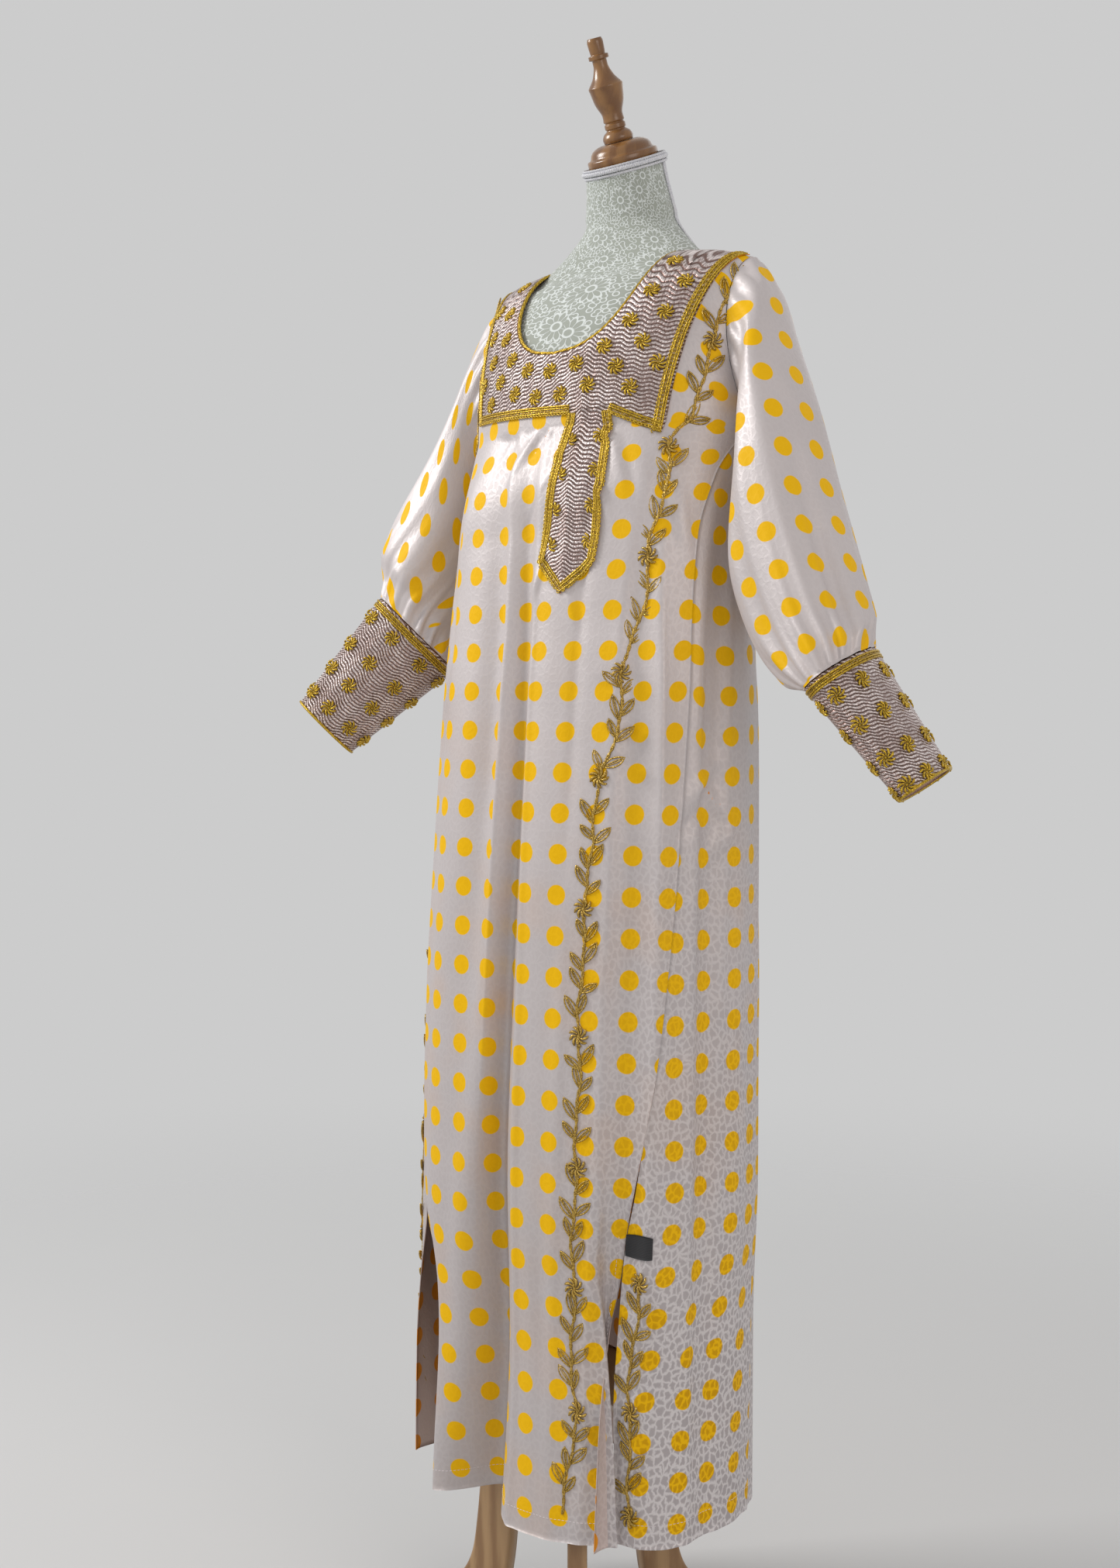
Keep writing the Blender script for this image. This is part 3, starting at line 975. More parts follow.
def pinwheels(p, right, up, n, radius, petals=12, turn=1, lift=0.0006, half=None):
    # curved petals round a small eye, one flower for each frame
    k = np.arange(petals) * 2 * math.pi / petals
    t = np.linspace(0, 1, 7)
    r = 0.16 + 0.80 * t
    a = k[:, None] + turn * 0.80 * t**1.2
    x, y = r * np.cos(a), r * np.sin(a)
    h = 0.0003 + 0.0007 * np.sin(math.pi * np.clip(t, 0.08, 1))
    count = len(p)
    local = p[:, None, None] + radius * (x[None, ..., None] * right[:, None, None] + y[None, ..., None] * up[:, None, None])
    local = local + (h + lift)[None, None, :, None] * n[:, None, None]
    ups = np.broadcast_to(n[:, None, None], local.shape)
    thick = radius * np.array([0.050, 0.085, 0.110, 0.130, 0.140, 0.125, 0.055])
    keep = np.ones(petals, bool)
    if half is not None:
        keep = np.cos(k - half) > -0.35
    local, ups = local[:, keep], ups[:, keep]
    parts = [strands(local.reshape(-1, 7, 3), thick, ups.reshape(-1, 7, 3))]
    eyes = p[:, None] + n[:, None] * (np.linspace(0.0001, 0.0010, 3)[None, :, None] + lift)
    parts.append(strands(eyes, radius * np.array([0.15, 0.13, 0.05]), np.broadcast_to(right[:, None], eyes.shape)))
    return gather(parts)


def evenly(points, normals, step):
    d = np.linalg.norm(np.diff(points, axis=0), axis=1)
    s = np.concatenate([[0], np.cumsum(d)])
    t = np.linspace(0, s[-1], max(3, int(round(s[-1] / step)) + 1))
    p = np.stack([np.interp(t, s, points[:, k]) for k in range(3)], 1)
    n = np.stack([np.interp(t, s, normals[:, k]) for k in range(3)], 1)
    return p, n / np.linalg.norm(n, axis=1)[:, None]


def sideways(p, n, loop=False):
    t = np.roll(p, -1, 0) - np.roll(p, 1, 0) if loop else np.gradient(p, axis=0)
    s = np.cross(t, n)
    return s / np.linalg.norm(s, axis=1)[:, None]


def cord(points, normals, shift, radius, lift, loop=False):
    p = points + sideways(points, normals, loop) * shift + normals * lift
    return strands(p[None], radius, normals[None], 6, loop)


def goldBand(points, normals, width, lift, out=1, loop=False, scallops=True):
    # two thick cords with a finer one between, and a row of small scallops on the outer side
    p, n = evenly(points, normals, 0.0022)
    if loop:
        p, n = p[:-1], n[:-1]
    wave = 1 + 0.16 * np.cos(np.arange(len(p)) * math.pi)
    parts = []
    for share, r in ((-0.38, 0.00125), (-0.09, 0.00125), (0.42, 0.00135)):
        parts.append(cord(p, n, out * share * width, r * wave, lift, loop))
    parts.append(cord(p, n, out * 0.16 * width, 0.0006, lift, loop))
    if scallops:
        q, m = evenly(points, normals, work["scallopStep"])
        s = sideways(q, m)
        t = np.cross(m, s)
        a = np.linspace(-0.15, math.pi + 0.15, 7)
        r = 0.0021
        arc = q[:, None] + out * s[:, None] * (width * 0.5 + np.sin(a) * r)[None, :, None] + t[:, None] * (np.cos(a) * r)[None, :, None]
        arc = arc + m[:, None] * (lift + 0.0002)
        parts.append(strands(arc, 0.00075, np.broadcast_to(m[:, None], arc.shape)))
    return gather(parts)


def edgeLine(xs, zs, step=0.004):
    d = np.concatenate([[0], np.cumsum(np.hypot(np.diff(xs), np.diff(zs)))])
    t = np.linspace(0, d[-1], max(8, int(d[-1] / step)))
    x, z = np.interp(t, d, xs), np.interp(t, d, zs)
    p, right, up, n = frontFrame(x, z)
    return p, n


def yokeWork():
    parts = []
    lift = yoke["high"] + 0.0003
    half = 0.0046
    # outer sides, up to the shoulder ridge
    for s in (1, -1):
        lowZ = 1.398 if s > 0 else 1.431
        low = np.array([s * 0.143, lowZ])
        t = np.linspace(0, 1, 60)
        w0 = riseOf(np.array([abs(low[0])]), np.array([max(lowZ, 1.4101)]), -1)[0]
        x = low[0] + (s * yokeTopX - low[0]) * t - s * half
        w = w0 + (88.5 - w0) * t
        p = upperPoint(x, w, -1)
        if lowZ < robe["bustZ"]:
            p = np.concatenate([frontAt(np.array([low[0] - s * half]), np.array([lowZ])), p])
            x, w = np.concatenate([[x[0]], x]), np.concatenate([[w[0]], w])
        q = upperPoint(x - 0.002, w, -1)
        r = upperPoint(x, np.minimum(w + 0.8, 90), -1)
        n = np.cross(upperPoint(x + 0.002, w, -1) - q, r - upperPoint(x, w - 0.8, -1))
        n = n / np.linalg.norm(n, axis=1)[:, None]
        parts.append(goldBand(p, n, 0.0092, lift, out=1 if s < 0 else -1))
    # lower edges on both sides of the tab
    for a, b in ((-0.140, 0.0335), (0.0850, 0.140)):
        x = np.linspace(a, b, 30)
        z = np.interp(x, yokeLow[:, 0], yokeLow[:, 1]) + half
        p, n = edgeLine(x, z)
        parts.append(goldBand(p, n, 0.0092, lift, out=1))
    # round the tab
    zs = np.linspace(1.4250, 1.2540, 30)
    left, right = smoothRows(tabSides[::-1], zs)
    xs = np.concatenate([left + half, [tabTip[0]], (right - half)[::-1]])
    hs = np.concatenate([zs, [tabTip[1] + half * 1.3], zs[::-1]])
    p, n = edgeLine(xs, hs, 0.003)
    parts.append(goldBand(p, n, 0.0092, lift, out=1))
    return gather(parts)


def rosetteSpots():
    # rows of flowers following the neckline, staggered, kept inside the yoke
    spots = []
    for ring, off in enumerate((0.020, 0.0505, 0.081)):
        x = np.linspace(0, 0.1, 80)
        z = smoothRows(neckFront, x)[0]
        curve = np.stack([x, z], 1)
        t = np.gradient(curve, axis=0)
        n = np.stack([t[:, 1], -t[:, 0]], 1) / np.linalg.norm(t, axis=1)[:, None]
        line = curve + n * off
        full = np.concatenate([(line * (-1, 1))[::-1], line[1:]])
        d = np.concatenate([[0], np.cumsum(np.hypot(*np.diff(full, axis=0).T))])
        s = np.arange(0.019 * (ring % 2) + d[-1] / 2 % 0.038, d[-1], 0.038)
        spots += list(np.stack([np.interp(s, d, full[:, k]) for k in (0, 1)], 1))
    good = []
    for x, z in spots:
        side = 0.143 + (z - 1.41) * (0.045 / 0.2) - 0.019
        floor = np.interp(x, yokeLow[:, 0], yokeLow[:, 1]) + 0.0175
        ridge = smoothRows(shoulderRidge, abs(x))[0]
        free = all(np.hypot(x - a, z - b) > 0.027 for a, b in good)
        if abs(x) < side and z > floor and z < ridge - 0.012 and free:
            good.append((x, z))
    return np.array(good)


flat = rosetteSpots()
p, right, up, n = frontFrame(flat[:, 0], flat[:, 1])
parts = [pinwheels(p, right, up, n, work["flowerR"], work["petals"], lift=yoke["high"])]
halfZ = np.array([1.392, 1.352, 1.312, 1.272])
left, rightX = smoothRows(tabSides[::-1], halfZ)
for x, facing in ((left + 0.0115, 0.0), (rightX - 0.0115, math.pi)):
    p, right, up, n = frontFrame(x, halfZ + (0.004 if facing else 0))
    parts.append(pinwheels(p, right, up, n, 0.0105, 9, lift=yoke["high"], half=facing))
parts.append(yokeWork())
v, f = gather(parts)
ob = meshPiece("yokeGoldWork", v, f, [goldThread])
print("yoke work made, flowers", len(flat))


def cuffWork(cuff, side):
    top, end, axis, fore, outer = cuffFrame(cuff, side)
    grow = cuffLook["wall"] / 2
    band = cuffGrid(cuff, side, 160, 40, grow)
    n = gridNormals(band, True) * (1 if side < 0 else -1)
    parts = []
    row = 2  # the corded band sits two rows below the cuff's top
    p, m = np.concatenate([band[row], band[row][:1]]), np.concatenate([n[row], n[row][:1]])
    parts.append(goldBand(p, m, 0.0088, 0.0004, out=-side, loop=False, scallops=False))
    p, m = band[-1], n[-1]
    parts.append(strands((p + m * 0.0002)[None], 0.0017, m[None], 6, True))
    spots = []
    length = np.linalg.norm(end - top)
    for down in (0.029, 0.069, 0.109, 0.145):
        for j in range(8):
            spots.append((down / length, (j + 0.35) / 8))
    rows = np.array([min(39, s * 39) for s, _ in spots])
    cols = np.array([t % 1 * 160 for _, t in spots])
    i, j = rows.astype(int), cols.astype(int) % 160
    p, m = band[i, j], n[i, j]
    right = band[i, (j + 1) % 160] - band[i, j - 1]
    right = right / np.linalg.norm(right, axis=1)[:, None]
    up = np.cross(m, right)
    parts.append(pinwheels(p, right, up, m, 0.0106, 9, lift=0.0001))
    return gather(parts)


for word, side, cuff in (("Left", 1, cuffNear), ("Right", -1, cuffFar)):
    v, f = cuffWork(cuff, side)
    ob = meshPiece("cuffGoldWork" + word, v, f, [goldThread])
print("cuff work made")

# Vines: height and degrees round the body, flowers at named heights
vines = dict(
    princess=((1.586, 80), (1.505, 74), (1.451, 69.5), (1.424, 62.5), (1.385, 58.8), (1.331, 59.1), (1.258, 57.1), (1.223, 57.6),
              (1.181, 54.8), (1.131, 50.5), (1.062, 48.3), (1.012, 43.8), (0.957, 40.3), (0.869, 39.6), (0.824, 38.5), (0.730, 38.4),
              (0.585, 38.2), (0.527, 37.0), (0.451, 38.6), (0.403, 37.0), (0.342, 38.6), (0.315, 39.4), (0.274, 37.6), (0.196, 33.8)),
    flowers=(1.505, 1.385, 1.258, 1.131, 1.012, 0.869, 0.730, 0.585, 0.451, 0.315),
    leafStep=0.0275, leafLong=0.0250, leafWide=0.0046, stemR=0.00115, flowerR=0.0124,
)


def panelFrame(deg, z, panel):
    deg, z = np.broadcast_arrays(np.asarray(deg, float), np.asarray(z, float))
    p = ringPoint(deg, z, panel)
    right = ringPoint(deg + 0.6, z, panel) - ringPoint(deg - 0.6, z, panel)
    up = ringPoint(deg, z + 0.002, panel) - ringPoint(deg, z - 0.002, panel)
    return squareUp(p, right, up)


def vineWork(point, top, bottom, flowers, flip=1):
    # point(z) gives the frame along the path; leaves stand in pairs along a double corded stem
    lift = robe["wall"] / 2 + 0.0007
    z = np.linspace(top, bottom, int((top - bottom) / 0.004))
    p, right, up, n = point(z)
    sway = (np.sin(z * 2 * math.pi / 0.13) * 0.0026 + np.sin(z * 2 * math.pi / 0.052 + 1) * 0.0012)[:, None] * right
    p = p + sway
    parts = []
    twist = z * 2 * math.pi / 0.020
    s = sideways(p, n)
    for way in (1, -1):
        q = p + s * (np.sin(twist) * 0.0011 * way)[:, None] + n * (lift + 0.0004 * np.cos(twist) * way)[:, None]
        parts.append(strands(q[None], vines["stemR"], n[None]))
    t = -np.gradient(p, axis=0)
    t = t / np.linalg.norm(t, axis=1)[:, None]
    spots = []
    h = top - 0.018
    turn = 0
    while h > bottom + 0.02:
        if min(abs(h + 0.008 - f) for f in flowers) > 0.015:
            spots.append((h, turn))
        h -= vines["leafStep"] * (0.92 + 0.16 * (turn % 2))
        turn += 1
    u = np.linspace(0, 1, 15)
    longShare = np.where(u < 0.5, u * 2, 2 - 2 * u)
    wideShare = np.sin(math.pi * longShare) ** 0.8 * np.where(u < 0.5, 1, -1)
    outlines, ribs, ups, ribUps = [], [], [], []
    for h, turn in spots:
        k = int(np.clip(np.searchsorted(-z, -h), 0, len(z) - 1))
        for way in (1, -1):
            k = int(np.clip(np.searchsorted(-z, -(h + (0.0055 if way * (turn % 2 - 0.5) > 0 else 0))), 0, len(z) - 1))
            spread = math.radians(18 + 9 * ((turn * 7 + (way > 0) * 3) % 3))
            d = t[k] * math.cos(spread) + s[k] * way * math.sin(spread)
            w = np.cross(n[k], d)
            size = 0.88 + 0.08 * ((turn * 5 + way) % 4)
            root = p[k] + s[k] * way * 0.0012 + n[k] * lift
            tip = longShare * vines["leafLong"] * size
            curl = way * np.sin(longShare * math.pi * 0.5) ** 2 * 0.0030
            line = root + tip[:, None] * d + (wideShare * vines["leafWide"] * size + curl)[:, None] * w
            outlines.append(line)
            ups.append(np.broadcast_to(n[k], line.shape))
            m = np.linspace(0.06, 0.90, 7)
            for off in (-0.22, 0.22):
                bend = way * np.sin(m * math.pi * 0.5) ** 2 * 0.0030 + off * vines["leafWide"] * size * np.sin(math.pi * m) ** 0.8
                rib = root + (m * vines["leafLong"] * size)[:, None] * d + bend[:, None] * w - n[k] * 0.0002
                ribs.append(rib)
                ribUps.append(np.broadcast_to(n[k], rib.shape))
    parts.append(strands(np.array(outlines), 0.00100, np.array(ups)))
    parts.append(strands(np.array(ribs), 0.00075, np.array(ribUps)))
    fz = np.array([f for f in flowers if bottom <= f <= top])
    if len(fz):
        k = np.clip(np.searchsorted(-z, -fz), 0, len(z) - 1)
        parts.append(pinwheels(p[k], right[k], up[k], n[k], vines["flowerR"], 9, turn=flip, lift=lift))
    return gather(parts)


princess = np.array(vines["princess"])[::-1]


def princessPath(side):
    def point(z):
        deg = np.interp(z, princess[:, 0], princess[:, 1])
        low = panelFrame(deg * side, np.minimum(z, 1.40), "front")
        x = side * np.interp(z, (1.400, 1.424, 1.451, 1.505, 1.590), (0.1660, 0.1690, 0.1715, 0.1800, 0.1900))
        high = frontFrame(x, np.clip(z, 1.4125, 1.595))
        share = softStep((z - 1.385) / 0.035)[:, None]
        return tuple(a * (1 - share) + b * share for a, b in zip(low, high))
    return point


def slitPath(panel, edge, off):
    def point(z):
        e = smoothRows(panelEdges, z)[edge]
        return panelFrame(e + off, z, panel)
    return point


vineParts = [vineWork(princessPath(1), 1.590, 0.200, vines["flowers"], 1), vineWork(princessPath(-1), 1.590, 1.395, vines["flowers"], -1)]
slitFlowers = (0.462, 0.318, 0.206)
vineParts.append(vineWork(slitPath("back", 1, 4.6), 0.468, 0.196, slitFlowers, 1))
vineParts.append(vineWork(slitPath("back", 3, -8.5), 1.340, 0.196, vines["flowers"] + slitFlowers[2:], -1))
v, f = gather(vineParts)
ob = meshPiece("vineWork", v, f, [vineThread])
print("vines made, faces", len(f))


# Neck piping, hem and seam stitches
def neckLoop():
    endsF = round((panels["front"]["cols"] + 1) * 0.14)
    endsB = round((panels["back"]["cols"] + 1) * 0.14)
    pf = frontGrid[-1][endsF:-endsF]
    pb = backGrid[-1][endsB:-endsB][::-1][1:-1]
    nf = gridNormals(frontGrid, False)[-1][endsF:-endsF]
    nb = gridNormals(backGrid, False)[-1][endsB:-endsB][::-1][1:-1]
    p, n = np.concatenate([pf, pb]), np.concatenate([nf, nb])
    out = p - np.array([0, 0.075, 1.40])
    n = n * np.sign((n * out).sum(1))[:, None]
    t = np.roll(p, -2, 0) - np.roll(p, 2, 0)
    b = np.cross(t, n)
    b = b / np.linalg.norm(b, axis=1)[:, None]
    hole = np.array([0, 0.075, 1.62]) - p
    b = b * np.sign((b * hole).sum(1))[:, None]
    return p, n, b


p, n, b = neckLoop()
turns = np.arange(len(p)) * 2 * math.pi * 30 / len(p)
parts = []
for k in range(3):
    a = turns + k * 2 * math.pi / 3
    q = p + b * (0.0021 + 0.0009 * np.cos(a))[:, None] + n * (0.0004 + 0.0009 * np.sin(a))[:, None]
    parts.append(strands(q[None], 0.00125, n[None], 6, True))
v, f = gather(parts)
ob = meshPiece("neckPiping", v, f, [goldThread])
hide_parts("neck_piping")


def stitchLine(points, normals, step, long, radius, lift):
    p, n = evenly(points, normals, step)
    p, n = p[1:-1], n[1:-1]
    t = np.gradient(p, axis=0)
    t = t / np.linalg.norm(t, axis=1)[:, None]
    k = np.array([-0.5, -0.25, 0.25, 0.5])
    h = np.array([-0.0002, 0.0001, 0.0001, -0.0002])
    q = p[:, None] + t[:, None] * (k * long)[None, :, None] + n[:, None] * (h + lift)[None, :, None]
    return strands(q, radius, np.broadcast_to(n[:, None], q.shape))


parts = []
for grid, turn in ((frontGrid, -1), (backGrid, 1)):
    n = gridNormals(grid, False) * turn
    row = 4
    parts.append(stitchLine(grid[row], n[row], 0.0046, 0.0030, 0.00030, robe["wall"] / 2))
    for col in (3, -4):
        line, m = grid[row:58, col], n[row:58, col]
        parts.append(stitchLine(line, m, 0.0046, 0.0030, 0.00030, robe["wall"] / 2))
v, f = gather(parts)
ob = meshPiece("hemStitches", v, f, [seamThread])


# Black woven label beside the top of the slit, left bare
def labelMaterial():
    mat, tree, bsdf = newMaterial("labelWeave", (0.014, 0.014, 0.016), 0.6)
    uv, u, v = clothAxes(tree)
    ribs = addNode(tree, "TexWave", wave_type="BANDS", bands_direction="Y")
    ribs.inputs["Scale"].default_value = 260
    tree.links.new(uv, ribs.inputs["Vector"])
    tree.links.new(blendColour(tree, ribs.outputs["Fac"], (0.008, 0.008, 0.010), (0.030, 0.030, 0.033)), bsdf.inputs["Base Color"])
    bumpFrom(tree, bsdf, ribs.outputs["Fac"], 0.4, 0.0004)
    return mat


t = np.linspace(0, 1, 15)
rows = []
for s in np.linspace(1, 0, 12):
    z = 0.5105 - 0.0235 * s + 0.0018 * np.sin(t * math.pi) * (1 - 1.6 * s)
    rows.append(ringPoint(57.9 + 6.6 * t, z, "back"))
grid = np.array(rows)
uv = clothUv(grid, 0)
ob = clothShell("wovenLabel", grid, uv, robe["wall"] / 2 + 0.0009, robe["wall"] / 2 + 0.0017, [labelMaterial()])
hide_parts("label")
report("wovenLabel", ob)
print("label made")

# Dress form: torso and neck under lace, braid round the neck's top and down its side
form = dict(rings=112, lean=22.0, neckTop=(0, 0.078, 1.745))
formTorso = np.array([
    (0.930, 0.035, 0.145, 0.090, 0.080), (0.960, 0.035, 0.158, 0.098, 0.086), (1.020, 0.037, 0.156, 0.096, 0.086),
    (1.110, 0.045, 0.132, 0.084, 0.080), (1.200, 0.050, 0.146, 0.096, 0.084), (1.290, 0.056, 0.166, 0.108, 0.086),
    (1.350, 0.066, 0.176, 0.118, 0.086), (1.410, 0.078, 0.184, 0.1290, 0.090),
])
formNeck = (
    (1.644, 0.0930, 0.0730, 0.0540, 0.0500), (1.664, 0.0905, 0.0640, 0.0480, 0.0510), (1.683, 0.0880, 0.0580, 0.0455, 0.0510),
    (1.704, 0.0850, 0.0530, 0.0455, 0.0500), (1.724, 0.0815, 0.0494, 0.0452, 0.0483),
)
lean = math.radians(form["lean"])
neckTop = np.array(form["neckTop"])
neckAxis = np.array([0, -math.sin(lean), math.cos(lean)])
backWay = np.cross(neckAxis, (1, 0, 0))


def formGrid(count):
    a = np.arange(count) * 2 * math.pi / count
    s, c = np.sin(a), np.cos(a)
    rings = []
    for z in (0.930, 0.942, 0.975, 1.02, 1.07, 1.12, 1.18, 1.24, 1.30, 1.35, 1.41):
        mid, half, deepF, deepB = smoothRows(formTorso, z)
        deep = np.where(c > 0, deepF, deepB)
        r = (np.abs(s / half) ** 2.2 + np.abs(c / deep) ** 2.2) ** (-1 / 2.2)
        rings.append(np.stack([r * s, mid - r * c, np.full(count, z)], 1))
    x0 = rings[-1][:, 0]
    base = np.stack([0.074 * s, 0.095 - np.where(c > 0, 0.063, 0.044) * c, 1.6190 - 0.006 * c], 1)
    for v in (0.14, 0.28, 0.42, 0.56, 0.68, 0.78):
        w = 90 * v
        b = (1 - math.cos(math.radians(w))) ** 1.5
        x = x0 + (0.073 * s / 0.97 - x0) * b
        onRidge = np.abs(s) ** 60
        rise = w + (90 - w) * onRidge
        p = np.where((c > 0)[:, None], upperPoint(x, rise, -1), upperPoint(x, rise, 1))
        p = (p - (0, 0.078, 0)) * (0.982, 0.975, 1) + (0, 0.078, -0.0045)
        p[:, 2] += onRidge * 0.0036
        k = softStep((v - 0.72) / 0.30)
        rings.append(p * (1 - k) + base * k)
    for z, y, r, deepF, deepB in formNeck[1:]:
        deep = np.where(c > 0, deepF, deepB)
        rings.append(np.stack([r * s, y - deep * c, z - (z - 1.63) * 0.10 * c], 1))
    rings.append(neckTop + 0.0475 * (s[:, None] * np.array([1.0, 0, 0]) - c[:, None] * backWay))
    # rows between the rings, so the neck flows
    out = []
    n = len(rings)
    for k in range(n - 1):
        p0, p1, p2, p3 = rings[max(k - 1, 0)], rings[k], rings[k + 1], rings[min(k + 2, n - 1)]
        steps = 6 if k >= n - 6 else 2
        for j in range(steps):
            t = j / steps
            bend = (2 * p0 - 5 * p1 + 4 * p2 - p3) * t * t + (3 * p1 - p0 - 3 * p2 + p3) * t**3
            smooth = 0.5 * (2 * p1 + (p2 - p0) * t + bend)
            out.append(smooth if k >= n - 8 else p1 + (p2 - p1) * t)
    out.append(rings[-1])
    return np.array(out)


def closedLathe(name, rings, mats, uvWide=None):
    # closed body from rings, with a fan at both ends
    rings = np.asarray(rings)
    rows, count = rings.shape[:2]
    verts = np.concatenate([rings.reshape(-1, 3), rings[:1].mean(1), rings[-1:].mean(1)])
    i, j = np.meshgrid(np.arange(rows - 1), np.arange(count), indexing="ij")
    corner = [(i, j), (i, j + 1), (i + 1, j + 1), (i + 1, j)]
    faces = np.stack([(a * count + b % count).ravel() for a, b in corner], 1).tolist()
    rise = np.concatenate([[0], np.cumsum(np.linalg.norm(np.diff(rings, axis=0), axis=-1).mean(1))])
    round_ = np.linalg.norm(np.roll(rings, -1, 1) - rings, axis=-1).sum(1)
    wide = uvWide if uvWide else round_.max()
    faceUv = np.stack([np.stack([b / count * wide, rise[a]], -1).reshape(-1, 2) for a, b in corner], 1).reshape(-1, 2).tolist()
    low, high = rows * count, rows * count + 1
    for k in range(count):
        m = (k + 1) % count
        faces.append([low, m, k])
        faceUv += [[0, 0], [wide / count, 0], [0, 0]]
        faces.append([high, (rows - 1) * count + k, (rows - 1) * count + m])
        faceUv += [[0, rise[-1]], [0, rise[-1]], [wide / count, rise[-1]]]
    me = bpy.data.meshes.new(name)
    me.from_pydata((verts - centre).tolist(), [], faces)
    ob = bpy.data.objects.new(name, me)
    scene.collection.objects.link(ob)
    for mat in mats:
        me.materials.append(mat)
    smooth = np.ones(len(me.polygons), bool)
    smooth[(rows - 1) * count :] = False
    me.polygons.foreach_set("use_smooth", smooth)
    me.uv_layers.new(name="clothUv").data.foreach_set("uv", np.asarray(faceUv, np.float32).ravel())
    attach(ob, "root")
    return ob


formRings = formGrid(form["rings"])
ob = closedLathe("formBody", formRings, [laceCover], 0.42)
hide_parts("form_torso")


def ropeBraid(points, normals, radius, pitch, loop=False):
    # three strands wound round each other, with small loops standing out on one side
    p, n = evenly(points, normals, 0.0016)
    if loop:
        p, n = p[:-1], n[:-1]
    s = sideways(p, n, loop)
    turns = round(len(p) * 0.0016 / pitch)
    a = np.arange(len(p)) * 2 * math.pi * turns / len(p)
    parts = []
    for k in range(3):
        b = a + k * 2 * math.pi / 3
        q = p + s * (np.cos(b) * radius * 0.55)[:, None] + n * (np.sin(b) * radius * 0.40)[:, None]
        parts.append(strands(q[None], radius * 0.46, n[None], 6, loop))
    return parts


a = np.linspace(0, 2 * math.pi, 181)
ring = np.sin(a)[:, None] * np.array([1.0, 0, 0]) - np.cos(a)[:, None] * backWay
top = neckTop - neckAxis * 0.0035
parts = ropeBraid(top + ring * 0.0512, ring, 0.0030, 0.009, True)
parts += ropeBraid(top + ring * 0.0502 - neckAxis * 0.0050, ring, 0.0019, 0.007, True)
parts += ropeBraid(top + ring * 0.0502 + neckAxis * 0.0040, ring, 0.0017, 0.007, True)
# side braid from the neck's top down to the shoulder on both sides
neckRows = formRings[-33:-1]
neckNormals = gridNormals(formRings, True)[-33:-1]
sideBraid = []
for share in (0.318, 0.682):
    k = int(share * form["rings"])
    line, m = neckRows[:, k], neckNormals[:, k]
    out = line - np.array([0, 0.088, 0])
    m = m * np.sign((m[:, :2] * out[:, :2]).sum(1))[:, None]
    for off in (-0.0019, 0.0019):
        s = sideways(line, m)
        sideBraid += ropeBraid(line + m * 0.0012 + s * off * 1.15, m, 0.0021, 0.008)
v, f = gather(parts)
ob = meshPiece("neckBraid", v, f, [braidThread])
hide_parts("neck_braid")
v, f = gather(sideBraid)
ob = meshPiece("sideBraid", v, f, [braidThread])
print("form made")

# Wooden cap, finial, pole, hub and legs
turnings = dict(
    cap=((0, 0.0), (0, 0.0405), (0.0006, 0.0424), (0.0020, 0.0430), (0.0078, 0.0430), (0.0094, 0.0422), (0.0102, 0.0400),
         (0.0112, 0.0384), (0.0128, 0.0378), (0.0160, 0.0368), (0.0192, 0.0345), (0.0218, 0.0308), (0.0236, 0.0262), (0.0244, 0.0225)),
    finial=(
        (0.0000, 0.0175), (0.0045, 0.0185), (0.0100, 0.0165), (0.0145, 0.0115), (0.0165, 0.0128), (0.0205, 0.0128),
        (0.0225, 0.0112), (0.0250, 0.0128), (0.0290, 0.0124), (0.0330, 0.0125), (0.0480, 0.0180), (0.0620, 0.0203),
        (0.0655, 0.0210), (0.0680, 0.0195), (0.0780, 0.0125), (0.0900, 0.0088), (0.0960, 0.0088), (0.0975, 0.0122),
        (0.1015, 0.0122), (0.1030, 0.0088), (0.1060, 0.0092), (0.1165, 0.0098), (0.1217, 0.0085),
    ),
    pole=((0, 0.0110), (0.5745, 0.0110)),
    hub=((0, 0.020), (0.0015, 0.0238), (0.006, 0.0265), (0.094, 0.0265), (0.0985, 0.0238), (0.100, 0.0200)),
    legs=((42, "leg_front"), (162, "leg_back"), (282, "leg_side")), stand=(-0.004, -0.004), board=0.011,
)


def turnedRings(profile, base, axis, count=56, fine=1):
    profile = np.array(profile, float)
    if fine > 1:
        s = np.arange(len(profile))
        t = np.linspace(0, len(profile) - 1, (len(profile) - 1) * fine + 1)
        profile = np.stack([t, *smoothRows(np.column_stack([s, profile]), t)], 1)[:, 1:]
    axis = unit(axis)
    side = unit(np.cross(axis, (0, 1, 0.1)))
    other = np.cross(axis, side)
    a = np.arange(count) * 2 * math.pi / count
    ring = np.cos(a)[:, None] * side + np.sin(a)[:, None] * other
    return np.array([np.array(base) + axis * h + max(r, 0.0004) * ring for h, r in profile])


capAt = neckTop + neckAxis * 0.0005
woods = (
    ("neckCap", "cap_disc", turnings["cap"][1:], capAt, neckAxis, darkWood, 1),
    ("turnedFinial", "finial", turnings["finial"], capAt + neckAxis * 0.0249, neckAxis, darkWood, 5),
    ("standPole", "pole", turnings["pole"], (*turnings["stand"], 0.355), (0, 0, 1), lightWood, 8),
    ("standHub", "hub", turnings["hub"], (*turnings["stand"], 0.2545), (0, 0, 1), lightWood, 1),
)
for name, node, profile, base, axis, mat, fine in woods:
    ob = closedLathe(name, turnedRings(profile, base, axis, 56, fine), [mat])
    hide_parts(node)

